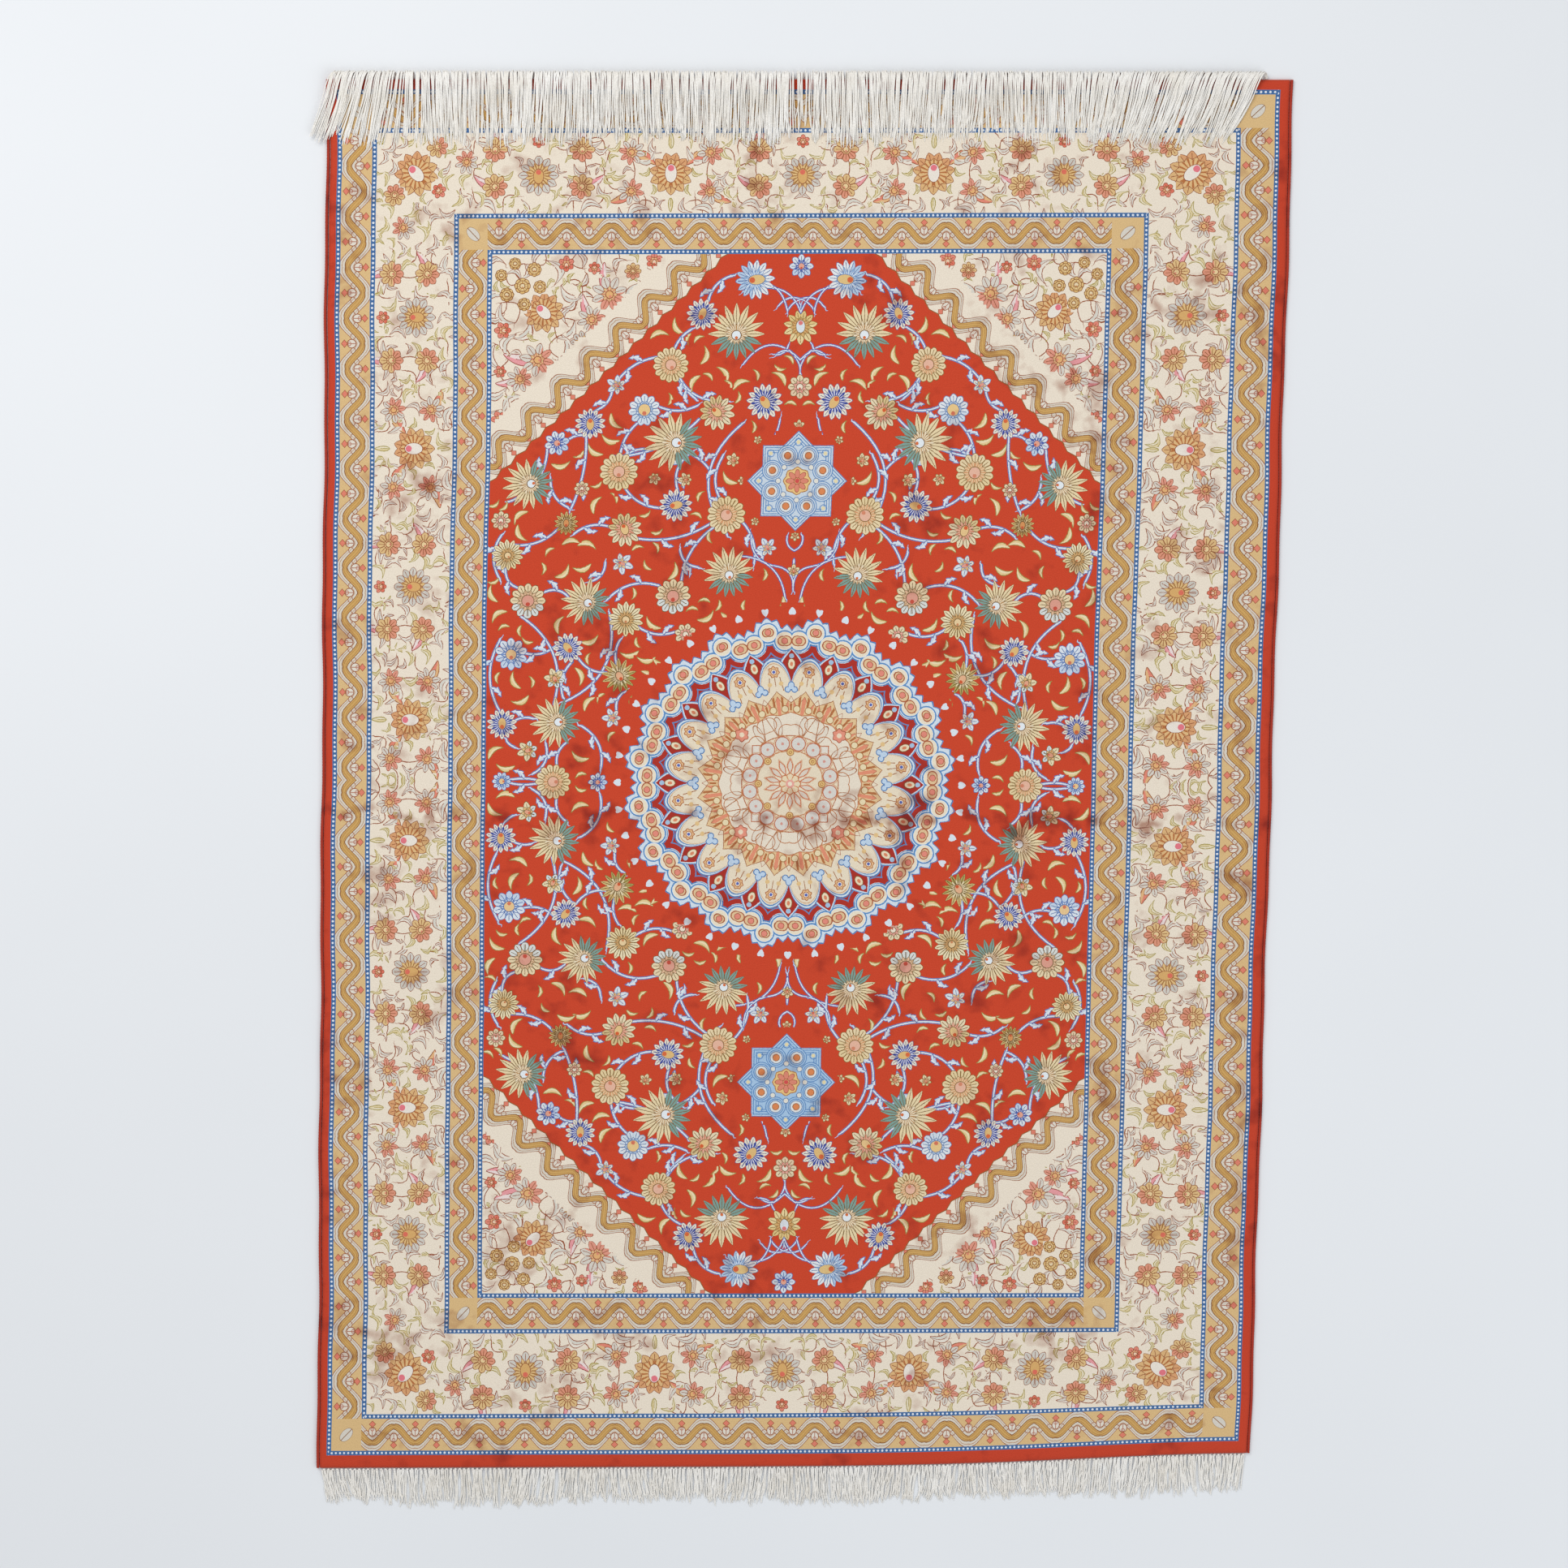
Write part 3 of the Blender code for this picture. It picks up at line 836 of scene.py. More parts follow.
region[(region == 0) & (np.hypot(*middles.T) < MEDALLION_REACH)] = 9
pendant_away = np.hypot(middles[:, 0], middles[:, 1] - PENDANT_CENTRE)
region[(region == 0) & (pendant_away < PENDANT_REACH)] = 10
lowest = np.minimum.reduceat(heights[corner_vertex, 2], starts)
region[lowest < 0.0001] = 8
region[totals > 4] = 11
keep("strip", strip)
layer = mesh.attributes.new("plan", "FLOAT_VECTOR", "POINT")
flat_plan = np.zeros((len(plan), 3), dtype=np.float32)
flat_plan[:, :2] = plan
layer.data.foreach_set("vector", flat_plan.ravel())


def stops(colours):
    """Even constant stops of a ramp, one for each kind of motif."""
    return [(number / len(colours), colour) for number, colour in enumerate(colours)]


def dyed(kind, table, column):
    """The colour that each kind of motif has in one column of a table."""
    colours = [(*linear(row.split()[column]), 1.0) for row in table.values()]
    place = (kind + 0.5) / len(colours)
    return Yarn.node("ShaderNodeValToRGB", {"stops": stops(colours)}, {"Fac": place})


def cut_to(kind, table, first):
    """Three of the measures that each kind of motif has."""
    rows = [tuple(row[first:first + 3]) + (1.0,) for row in table.values()]
    place = (kind + 0.5) / len(rows)
    ramp = Yarn.node("ShaderNodeValToRGB", {"stops": stops(rows)}, {"Fac": place})
    split = Yarn.node("ShaderNodeSeparateColor", {}, {"Color": ramp})
    return split, split.other_output("Green"), split.other_output("Blue")


def stitched(name):
    """The three numbers of an attribute of the cloth, and its fourth."""
    read = Yarn.node("ShaderNodeAttribute", {"attribute_name": name}, {}, 1)
    split = Yarn.node("ShaderNodeSeparateXYZ", {}, {"Vector": read})
    return split, split.other_output("Y"), split.other_output("Z"), read.other_output("Alpha")


def root(value):
    return Yarn.maths("SQRT", value)


def length(first, second):
    return root(first * first + second * second)


def rest(value):
    return Yarn.maths("FRACT", value)


def sine(value):
    return Yarn.maths("SINE", value)


def zigzag(value):
    """0 at whole numbers and 1 half way between two of them."""
    return 1.0 - abs(rest(value) - 0.5) * 2.0


def near(value, reach):
    return abs(value) < reach


def flower_layer(ground, wobble):
    """The flowers over a ground colour."""
    u, v, kind, size = stitched("flower")
    u, v = u + wobble, v - wobble
    petals, notch, roundness = cut_to(kind, FLOWER_CUT, 0)
    taller, ring, ring_notch = cut_to(kind, FLOWER_CUT, 3)
    heart, slimness, offset = cut_to(kind, FLOWER_CUT, 6)
    petals = petals * 32.0
    away = length(u, v)
    turn = Yarn.maths("ARCTAN2", abs(u), v)
    along_petal = zigzag(turn * petals / math.tau + 0.5)  # 1 along a petal, 0 between two
    gap = along_petal * math.pi * away / petals
    across_petal = math.pi * away / petals - gap
    shorter = 1.0 - taller * (1.0 - Yarn.maths("COSINE", turn)) * 0.5
    edge = (1.0 - notch * (1.0 - along_petal) ** (roundness * 4.0)) * shorter
    inwards = size * edge - away
    ring_edge = size * ring * (1.0 - ring_notch * along_petal) * shorter
    ring_in = ring_edge - away
    side = length(u * slimness * 4.0, v - (offset - 0.5) * size)
    heart_in = size * heart - side
    base = length(u, v - (offset - 0.5) * size + size * heart * 0.55)
    lower = turn > 1.75
    colour = blend(lower, dyed(kind, FLOWER_DYES, 0), dyed(kind, FLOWER_DYES, 1))
    outline = dyed(kind, FLOWER_DYES, 6)
    drawn_line = (gap < 0.5) | ((across_petal < 0.32) & (inwards > 2.6))
    colour = blend(drawn_line, colour, outline)
    streak = (rest(turn * petals * 1.5 / math.tau) < 0.4) & (ring_in > 0.8)
    ring_colour = blend(streak, dyed(kind, FLOWER_DYES, 2), dyed(kind, FLOWER_DYES, 3))
    colour = blend(ring_in > 0.0, colour, ring_colour)
    colour = blend(near(ring_in, 0.38) | near(inwards - 0.25, 0.5), colour, outline)
    colour = blend(heart_in > 0.0, colour, dyed(kind, FLOWER_DYES, 4))
    colour = blend(near(heart_in, 0.42), colour, outline)
    colour = blend(base < size * heart * 0.34, colour, dyed(kind, FLOWER_DYES, 5))
    return blend((inwards > 0.0) & (kind > 0.5), ground, colour)


def leaf_layer(ground, wobble):
    u, share, kind, reach = stitched("leaf")
    u = u + wobble
    swell = (4.0 * share * (1.0 - share)) ** 0.7 * (1.15 - 0.55 * share)
    fan = near(kind - LEAVES.index("fan"), 0.3)
    teeth = 1.0 - fan * (0.55 * rest(share * 2.6 + 0.2))
    wide = [(0.11, 0.11, 0.11, 1.0)] + [(LEAF_WIDTHS[name] / 2,) * 3 + (1.0,) for name in LEAVES[1:]]
    fullness = Yarn.node(
        "ShaderNodeValToRGB", {"stops": stops(wide)}, {"Fac": (kind + 0.5) / len(wide)}
    )
    inwards = reach * fullness * swell * teeth - abs(u)
    colour = blend(u > 0.0, dyed(kind, LEAF_DYES, 0), dyed(kind, LEAF_DYES, 1))
    line = near(inwards, 0.5) | (near(u, 0.32) & (share < 0.62) & (kind > 2.5))
    colour = blend(line, colour, dyed(kind, LEAF_DYES, 2))
    inside = (inwards > -0.4) & (share > 0.0) & (share < 1.0) & (kind > 0.5)
    return blend(inside, ground, colour)


def vine_layer(ground, wobble, name):
    aside, _, kind, _ = stitched(name)
    aside = abs(aside + wobble)
    core, reach, _ = cut_to(kind, VINE_CUT, 0)
    colour = blend(aside < core, dyed(kind, VINE_DYES, 1), dyed(kind, VINE_DYES, 0))
    return blend((aside < reach) & (kind > 0.5), ground, colour)


def silk(name, make):
    """A finished silk pile: make gives its pattern from the place on the cloth."""
    material, sockets = start_material(name)
    place = Yarn.node("ShaderNodeAttribute", {"attribute_name": "plan"}, {}, 1)
    knots = noise(place, 560.0, 1.0)
    wobble = (knots.other_output("Fac") - 0.5) * 0.9
    colour = make(place, wobble)
    split = Yarn.node("ShaderNodeSeparateXYZ", {}, {"Vector": place})
    py = split.other_output("Y")
    # Painted shade: the sheared pile is darkened along a fold and in brush marks, where it would lean
    # away from the light and lose its sheen.
    shade_and_bump_noise = noise(place, 11.0, 3.0).other_output("Fac")
    shade_marks = noise(place, 46.0, 2.0).other_output("Fac")
    fold_shade = Yarn.maths("EXPONENT", -((py + 0.036 + (shade_and_bump_noise - 0.5) * 0.03) * 95.0) ** 2.0)
    painted_shade = fold_shade * (shade_marks * 3.0 - 0.9) * 0.8 + (shade_and_bump_noise * shade_marks - 0.29) * 5.0
    painted_shade = Yarn.maths("MINIMUM", Yarn.maths("MAXIMUM", painted_shade, 0.0), 1.0)
    shade = blend(painted_shade, "ffffff", "b48474")
    colour = blend(0.85, colour, shade, "MULTIPLY")
    speckle = noise(place, 900.0, 1.0).other_output("Fac")
    grain = blend(speckle, "ccc8c4", "ffffff")
    colour = blend(0.75, colour, grain, "MULTIPLY")
    links = material.node_tree.links
    links.new(colour.socket, sockets["Base Color"])
    links.new((0.86 - 0.22 * speckle).socket, sockets["Roughness"])
    # The noise that places the painted shade also gives the pile a real bump.
    bump = Yarn.node(
        "ShaderNodeBump", {}, {"Strength": 0.35, "Distance": 0.0006, "Height": speckle + shade_and_bump_noise}
    )
    links.new(bump.socket, sockets["Normal"])
    sockets["Sheen Weight"].default_value = 0.12
    sockets["Sheen Roughness"].default_value = 0.4
    sockets["Specular IOR Level"].default_value = 0.3
    return material


RED = "d0421f"
CREAM = "f1e5d2"
GOLD = "dfbd86"


def ruled(colour, value, width, line):
    """A thin line wherever a value is near nothing."""
    return blend(near(value, width), colour, line)


def ribbon(s, t, wobble, ground):
    """The gold ribbon that winds along a guard, with a leaf and a bulb in each of its bends."""
    wave = sine(s * math.pi) * 8.6
    over = t - wave + wobble
    slope = abs(Yarn.maths("COSINE", s * math.pi))
    thick = 2.4 + 2.6 * slope
    beside_it = abs(over) - thick
    pocket = abs(rest(s) - 0.5) * 23.0
    opens = 1.0 - 2.0 * (Yarn.maths("MODULO", Yarn.maths("FLOOR", s), 2.0) > 0.5)
    depth = t + opens * 3.4
    colour = blend(beside_it < 6.4, ground, "ddd5c6")
    colour = ruled(colour, beside_it - 6.4, 0.45, "a05a34")
    colour = ruled(colour, beside_it - 3.5, 0.34, "b8845a")
    colour = ruled(colour, length(pocket - 6.4, depth - opens * 1.5) - 2.6, 0.36, "a86a48")
    bulb = length(pocket * 1.25, depth)
    colour = blend(bulb < 4.8, colour, "e6dfd0")
    colour = ruled(colour, bulb - 4.8, 0.45, "a05a34")
    colour = blend((pocket < 0.36) & (bulb < 4.2), colour, "b06a50")
    colour = ruled(colour, length(pocket, depth + opens * 2.4) - 1.7, 0.36, "b8705a")
    mouth = pocket + abs(t + opens * 11.4)
    colour = blend(mouth < 3.4, colour, "e4836c")
    colour = ruled(colour, mouth - 3.5, 0.4, "a05a34")
    colour = blend(beside_it < 0.0, colour, "d3a862")
    colour = ruled(colour, abs(over) - thick * 0.42, 0.26, "a8743a")
    return ruled(colour, beside_it, 0.5, "8c5526")


def field(place, wobble):
    colour = vine_layer(RED, wobble, "vine_under")
    colour = vine_layer(colour, wobble, "vine")
    colour = leaf_layer(colour, wobble)
    colour = flower_layer(colour, wobble)
    s, t, _, _ = stitched("strip")
    scallop = zigzag(s) * 3.2
    banded = ribbon(s, t - 18.0, wobble, CREAM)
    colour = blend(t > scallop, colour, banded)
    return blend(near(t - scallop, 0.5), colour, "96602e")


def border(place, wobble):
    colour = vine_layer(CREAM, wobble, "vine_under")
    colour = vine_layer(colour, wobble, "vine")
    colour = leaf_layer(colour, wobble)
    return flower_layer(colour, wobble)


def guard(place, wobble):
    s, t, square, _ = stitched("strip")
    colour = ribbon(s, t, wobble, GOLD)
    corner = blend(near(length(s * 1.6, t) - 9.0, 0.5) | near(s, 0.4), "dcd6ca", "94602e")
    corner = blend(length(s * 1.6, t) > 9.0, corner, GOLD)
    return blend(square > 0.5, colour, corner)


def dots(place, wobble):
    s, t, _, _ = stitched("strip")
    bead = length((rest(s / 4.65) - 0.5) * 4.65, t + wobble)
    colour = blend(abs(t) > 1.9, "3f6aa0", "4a78ac")
    return blend(bead < 1.2, colour, "e6ecf2")


def around(turn, count, start=0.0):
    """How far round its own share of the circle a place is, -0.5 to 0.5, for a ring of motifs."""
    return rest(turn * count / math.tau + start) - 0.5


def medallion(place, wobble):
    split = Yarn.node("ShaderNodeSeparateXYZ", {}, {"Vector": place})
    x = split * 1000.0 + wobble
    y = split.other_output("Y") * 1000.0 - wobble
    away = length(x, y)
    turn = Yarn.maths("ARCTAN2", x, y)
    # One of the 20 points of the star, and one of the 20 hollows between them: how far
    # across it and how far out from the middle.
    point = around(turn, 20) * math.tau / 20
    point_side, point_out = abs(away * sine(point)), away * Yarn.maths("COSINE", point)
    hollow = around(turn, 20, 0.5) * math.tau / 20
    hollow_side, hollow_out = abs(away * sine(hollow)), away * Yarn.maths("COSINE", hollow)
    # Outermost, clusters of three rings hold a small flower each.
    side_ring = length(point_side - 16.2, point_out - 150.5)
    tip_ring = length(point_side, point_out - 162.0) + 0.10 * (point_out - 162.0)
    ring = Yarn.maths("MINIMUM", side_ring - 9.6, tip_ring - 9.2)
    spikes = 4.4 * zigzag(turn * 100 / math.tau) * (away > 152.0)
    # The ground inside the clusters is red, with pale blue bands along them and the star.
    star_edge = 102.0 + 29.0 * (1.0 - (abs(around(turn, 20)) * 2.0) ** 1.9) ** 0.72
    beyond_star = away - star_edge
    colour = blend(away < 150.0, RED, "a9281a")
    between = length(hollow_side, hollow_out - 183.0 + hollow_side * 0.5) < 3.8
    outer_bud = (length(point_side, point_out - 182.0 - point_side * 0.7) < 3.6) | between
    colour = blend(outer_bud, colour, "dfe8f0")
    colour = blend((ring < 3.6 + spikes) & (away < 176.0), colour, "d7e4ef")
    colour = ruled(colour, ring - 3.4 - spikes, 0.7, "4f84bc")
    colour = ruled(colour, ring - 0.9, 0.75, "5c90c6")
    colour = blend(ring < 0.0, colour, "e9eef2")
    apart = math.pi * away / 20.0 - point_side
    colour = ruled(colour, apart, 1.1 * (ring < 1.0), "5c90c6")
    crescent = near(ring - 6.6, 2.6) & (point_out < 147.0) & (beyond_star > 4.0)
    colour = blend((ring > 3.4) & (ring < 10.0) & (away < 143.0), colour, "dce8f0")
    colour = blend(crescent, colour, "b22b1c")
    colour = ruled(colour, ring - 9.8, 0.6 * (away < 143.0), "5c90c6")
    # Drops hang in the hollows, each with a bud.
    fall = Yarn.maths("MAXIMUM", (hollow_out - 113.0) / 29.0, 0.0001)
    drop = 10.5 * sine(Yarn.maths("MINIMUM", fall, 1.0) ** 0.75 * math.pi) - hollow_side
    drop_near = (fall < 1.0) & (fall > 0.01)
    colour = blend((drop > -2.4) & drop_near, colour, "d3e2ee")
    colour = ruled(colour, drop + 2.2, 0.6 * drop_near, "5c90c6")
    colour = blend((drop > 0.0) & drop_near, colour, "ad2a1b")
    bud = length(hollow_side * 1.5, hollow_out - 127.0)
    colour = blend(bud < 5.6, colour, "eee0c0")
    colour = blend(bud < 2.4, colour, "e08a64")
    colour = ruled(colour, bud - 5.6, 0.45, "86602e")
    colour = blend(length(hollow_side, hollow_out - 135.5) < 2.6, colour, "a8c6e2")
    # The star, edged in two blues.
    colour = blend(beyond_star < 3.4, colour, "d9e6ef")
    colour = ruled(colour, beyond_star - 3.2, 0.7, "4f84bc")
    colour = blend(beyond_star < 0.0, colour, "ecdfc6")
    colour = ruled(colour, beyond_star, 0.7, "5a8cc2")
    colour = ruled(colour, beyond_star + 2.6, 0.35, "c89060")
    # Inside every ring of a cluster is a flower on a cream ground.
    for flower, size in ((side_ring, 7.4), (tip_ring, 6.6)):
        colour = blend(flower < size + 1.9, colour, "efe4cc")
        petal = size - 2.6 * zigzag(turn * 60 / math.tau)
        colour = blend(flower < petal, colour, "e6c69a")
        colour = ruled(colour, flower - petal, 0.45, "b0603c")
        colour = blend(flower < 3.2, colour, "e88e7c")
        colour = ruled(colour, flower - 3.2, 0.35, "a8583a")
    # Each point of the star holds a flower with a blue eye over two leaves.
    eye = length(point_side, point_out - 119.5)
    petal = 6.2 - 1.6 * zigzag(Yarn.maths("ARCTAN2", point_side, point_out - 119.5) * 7 / math.tau)
    colour = blend(eye < petal, colour, "e8c08c")
    colour = ruled(colour, eye - petal, 0.5, "b4663a")
    colour = blend(eye < 3.0, colour, "f0e4d0")
    colour = ruled(colour, eye - 3.0, 0.4, "b4663a")
    colour = blend(eye < 1.6, colour, "5868b8")
    sprig = near(point_side - 7.0 + 0.16 * (point_out - 104.0), 0.45) & near(point_out - 106.0, 7.5)
    colour = blend(sprig | (near(point_side, 0.4) & near(point_out - 109.0, 5.0)), colour, "a8683a")
    colour = blend(length(point_side - 6.0, point_out - 106.5) < 2.4, colour, "e6c48c")
    # Blue trefoils stand in the hollows of the star.
    trefoil = Yarn.maths("MINIMUM", length(hollow_side - 3.6, hollow_out - 100.0) - 3.0,
                         length(hollow_side * 1.3, hollow_out - 104.0) - 4.2)
    colour = blend(trefoil < 0.0, colour, "c3d8ec")
    colour = ruled(colour, trefoil, 0.5, "4a7cb6")
    # Two rows of gold and salmon petals round the middle.
    gold_row = 99.0 - 13.0 * zigzag(turn * 20 / math.tau + 0.5) ** 0.8 - away
    colour = blend(gold_row > 0.0, colour, "e7c898")
    colour = ruled(colour, gold_row, 0.5, "a8653a")
    streak = zigzag(turn * 60 / math.tau)
    colour = blend((streak < 0.26) & (gold_row > 1.2) & (away > 78.0), colour, "b8713f")
    salmon_row = 93.0 - 12.0 * zigzag(turn * 40 / math.tau) - away
    colour = blend((salmon_row > 0.0) & (streak > 0.55), colour, "e59272")
    colour = ruled(colour, salmon_row, 0.45, "a8593a")
    bead = length(away * sine(around(turn, 40) * math.tau / 40), away - 79.5)
    colour = blend(bead < 3.6, colour, "ecdcb4")
    colour = ruled(colour, bead - 3.6, 0.45, "b07640")
    # A cream ring with curling stems, and a salmon flower towards each corner.
    curl = around(turn, 8) * math.tau / 8
    curl_side, curl_out = abs(away * sine(curl)), away * Yarn.maths("COSINE", curl)
    inner_edge = 76.0 - 3.0 * zigzag(turn * 20 / math.tau)
    colour = blend(away < inner_edge, colour, "ece1ce")
    colour = ruled(colour, away - inner_edge, 0.5, "c08050")
    blade = length((curl_side - 11.0) * 1.8, (curl_out - 61.0) * 0.8 - (curl_side - 11.0) * 0.6)
    inside = away < 74.0
    colour = blend((blade < 7.6) & inside, colour, "e6dccb")
    colour = ruled(colour, blade - 7.6, 0.5 * inside, "a8673c")
    colour = ruled(colour, length(curl_side - 3.0, curl_out - 66.0) - 7.5, 0.42 * inside, "c07844")
    colour = ruled(colour, length(curl_side - 17.0, curl_out - 52.0) - 8.5, 0.42 * inside, "c07844")
    colour = ruled(colour, curl_side - 2.0 - (74.0 - curl_out) * 0.22, 0.4 * inside, "b06c3c")
    corner = length(abs(x) - 51.5, abs(y) - 51.5)
    corner_edge = 7.6 - 2.0 * zigzag(Yarn.maths("ARCTAN2", abs(x) - 51.5, abs(y) - 51.5) * 6 / math.tau)
    colour = blend(corner < corner_edge, colour, "e8967e")
    colour = ruled(colour, corner - corner_edge, 0.45, "a8553a")
    colour = blend(corner < 2.6, colour, "f0dcc0")
    square = Yarn.maths("MAXIMUM", abs(abs(x) - 35.7), abs(abs(y) - 35.7))
    # Sixteen rings in octagons, small gold rosettes and a star with fourteen petals.
    link = around(turn, 16) * math.tau / 16
    disc = length(away * sine(link), away * Yarn.maths("COSINE", link) - 43.2)
    colour = ruled(colour, away - 51.2, 0.5, "b86c44")
    colour = blend(away < 50.7, colour, "eadcc2")
    colour = ruled(colour, away - 35.4, 0.5, "c8865a")
    colour = blend(square < 4.4, colour, "e6dfd2")
    colour = ruled(colour, square - 4.6, 0.5, "c0704a")
    colour = blend(disc < 7.6, colour, "dcd8d0")
    colour = ruled(colour, disc - 7.4, 0.55, "c46f4c")
    colour = ruled(colour, disc - 8.9, 0.35, "d09a6c")
    colour = blend(disc < 1.5, colour, "d89a8c")
    rosette = around(turn, 8, 0.5) * math.tau / 8
    rosette = length(away * sine(rosette), away * Yarn.maths("COSINE", rosette) - 33.6)
    colour = blend(rosette < 3.6, colour, "e6c27e")
    colour = ruled(colour, rosette - 3.6, 0.45, "b07440")
    colour = ruled(colour, rosette - 1.4, 0.35, "b07440")
    long_petal = 28.5 - 11.0 * zigzag(turn * 14 / math.tau) - away
    colour = blend(long_petal > 0.0, colour, "ece0c6")
    petal_gap = zigzag(turn * 14 / math.tau + 0.5) * math.pi * away / 14.0
    slim = Yarn.maths("MINIMUM", 26.5 - away, (away - 10.0) * 0.8)
    leaf_edge = Yarn.maths("MINIMUM", slim * 0.45, 2.6) - (math.pi * away / 14.0 - petal_gap)
    colour = blend(leaf_edge > 0.0, colour, "e0d4c4")
    colour = ruled(colour, leaf_edge, 0.5, "cd7246")
    colour = ruled(colour, long_petal, 0.45, "d08a58")
    disc = 11.5 - 1.8 * zigzag(turn * 8 / math.tau) - away
    colour = blend(disc > 0.0, colour, "ecd9b6")
    colour = ruled(colour, disc, 0.5, "c4703f")
    colour = blend((disc > 0.8) & (zigzag(turn * 8 / math.tau + 0.5) < 0.16), colour, "cf8048")
    colour = blend(away < 4.4, colour, "eba79a")
    return blend(away < 2.3, colour, "f1e4cc")


def pendant(place, wobble):
    split = Yarn.node("ShaderNodeSeparateXYZ", {}, {"Vector": place})
    x = split * 1000.0 + wobble
    height = split.other_output("Y")
    y = abs(height * 1000.0) - PENDANT_CENTRE - wobble
    away = length(x, y)
    turn = Yarn.maths("ARCTAN2", x, y)
    star = Yarn.maths("MINIMUM", Yarn.maths("MAXIMUM", abs(x), abs(y)),
                      (abs(x) + abs(y)) * math.sqrt(0.5)) - 35.4
    # Painted sheen: the pale blue of the pendant towards the top is lighter than that of the one towards
    # the bottom.
    sheen_blue = blend(height > 0.0, "a8c8e6", "ccdae6")
    colour = blend(star < 1.6, RED, "dfe9f0")
    colour = blend(star < 0.4, colour, sheen_blue)
    colour = ruled(colour, star - 1.3, 0.45, "5c84b8")
    for inset in (0.8, 3.6, 6.0):
        colour = ruled(colour, star + inset, 0.45, "5f8cc0")
    section = around(turn, 8) * math.tau / 8
    ring = length(away * sine(section), away * Yarn.maths("COSINE", section) - 28.6)
    gap = around(turn, 8, 0.5) * math.tau / 8
    gap_side, gap_out = away * sine(gap), away * Yarn.maths("COSINE", gap)
    eyelet = length(gap_side, gap_out - 40.5)
    colour = blend(ring < 10.4, colour, sheen_blue)
    for reach in (10.4, 8.2):
        colour = ruled(colour, ring - reach, 0.45, "5f8cc0")
    colour = blend(ring < 6.6, colour, "e2e6e4")
    colour = ruled(colour, ring - 6.4, 0.4, "6a86b0")
    colour = blend(ring < 3.5, colour, "e08a54")
    colour = ruled(colour, ring - 3.5, 0.4, "a8683c")
    colour = blend(eyelet < 2.0, colour, "e8dcb0")
    colour = ruled(colour, eyelet - 3.6, 0.45, "5f8cc0")
    colour = blend(length(gap_side, gap_out - 20.0) < 2.6, colour, "e6e4d8")
    colour = ruled(colour, length(gap_side, gap_out - 20.0) - 2.8, 0.4, "6a86b0")
    disc = 14.6 - 2.0 * zigzag(turn * 8 / math.tau) - away
    colour = blend(disc > 0.0, colour, "ecc684")
    colour = ruled(colour, disc, 0.5, "b07a44")
    petal = length(away * sine(gap) * 1.7, gap_out - 7.4)
    colour = blend(petal < 4.4, colour, "e08a72")
    colour = ruled(colour, petal - 4.4, 0.4, "a85a3c")
    return blend(away < 2.4, colour, "d4504c")


def plain_red(place, wobble):
    return blend(0.5, RED, "c43c20")


def underside(place, wobble):
    return blend(0.5, "d8c4b0", "c8a890")


MAKERS = {
    "field": field, "dots": dots, "guard": guard, "border": border, "edge": plain_red,
    "medallion": medallion, "pendant": pendant, "back": underside,
}
for name, maker in MAKERS.items():
    mesh.materials.append(silk("silk_" + name, maker))
slots = np.array([list(MAKERS).index(name) for name in REGIONS], dtype=np.int32)
mesh.polygons.foreach_set("material_index", slots[region])
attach(cloth, "root")
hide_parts("rug")


# --- Side cords -----------------------------------------------------------------------
# The outermost warps on each long side are bound into one round cord with red silk, in
# close turns of overcasting that hold the side of the pile.
CORD_RADIUS = 0.0017
CORD_GAP = 0.0003
TURN_PITCH = 0.0031  # from one turn of the binding silk to the next
TURN_DEPTH = 0.00022
CORD_RED = "b83a22"


def binding(place, wobble):
    worn = noise(place, 120.0, 2.0).other_output("Fac")
    return blend(worn, "a52c1a", CORD_RED)


def thread(name, radius, resolution):
    """A curve that is as thick as a round thread, with its ends closed."""
    curve = bpy.data.curves.new(name, "CURVE")
    curve.dimensions = "3D"
    curve.bevel_depth = radius
    curve.bevel_resolution = resolution
    curve.use_fill_caps = True
    return curve


def add_thread(bm, curve):
    """Adds a thread's solid to a bmesh, and makes all of that bmesh smooth."""
    held = bpy.data.objects.new(curve.name, curve)
    bpy.context.scene.collection.objects.link(held)
    seen = held.evaluated_get(bpy.context.evaluated_depsgraph_get())
    grown = bpy.data.meshes.new_from_object(seen)
    bpy.data.objects.remove(held)
    bm.from_mesh(grown)
    bpy.data.meshes.remove(grown)
    for face in bm.faces:
        face.smooth = True


side_silk = silk("side_silk", binding)
for name, node, edge, outwards, wave_start in (
    ("side_binding_left", "side_cord_left", LEFT_EDGE, -1.0, 0.0),
    ("side_binding_right", "side_cord_right", RIGHT_EDGE, 1.0, RIGHT_WAVE_START),
):
    curve = thread(name, CORD_RADIUS, 2)
    count = 2 * round((TOP_EDGE - BOTTOM_EDGE) / TURN_PITCH)
    spline = curve.splines.new("POLY")
    spline.points.add(count)
    for number, point in enumerate(spline.points):
        y = BOTTOM_EDGE + (TOP_EDGE - BOTTOM_EDGE) * number / count
        x = edge + side_wave(y + wave_start) + outwards * (CORD_GAP + CORD_RADIUS)
        point.co = (*pulled(x, y), CORD_RADIUS, 1.0)
        point.radius = 1.0 - TURN_DEPTH / CORD_RADIUS * (number % 2)
    bm = bmesh.new()
    add_thread(bm, curve)
    cord = mesh_piece(name, bm, [side_silk])
    layer = cord.data.attributes.new("plan", "FLOAT_VECTOR", "POINT")
    layer.data.foreach_set("vector", [value for vertex in cord.data.vertices for value in vertex.co])
    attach(cord, "root")
    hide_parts(node)


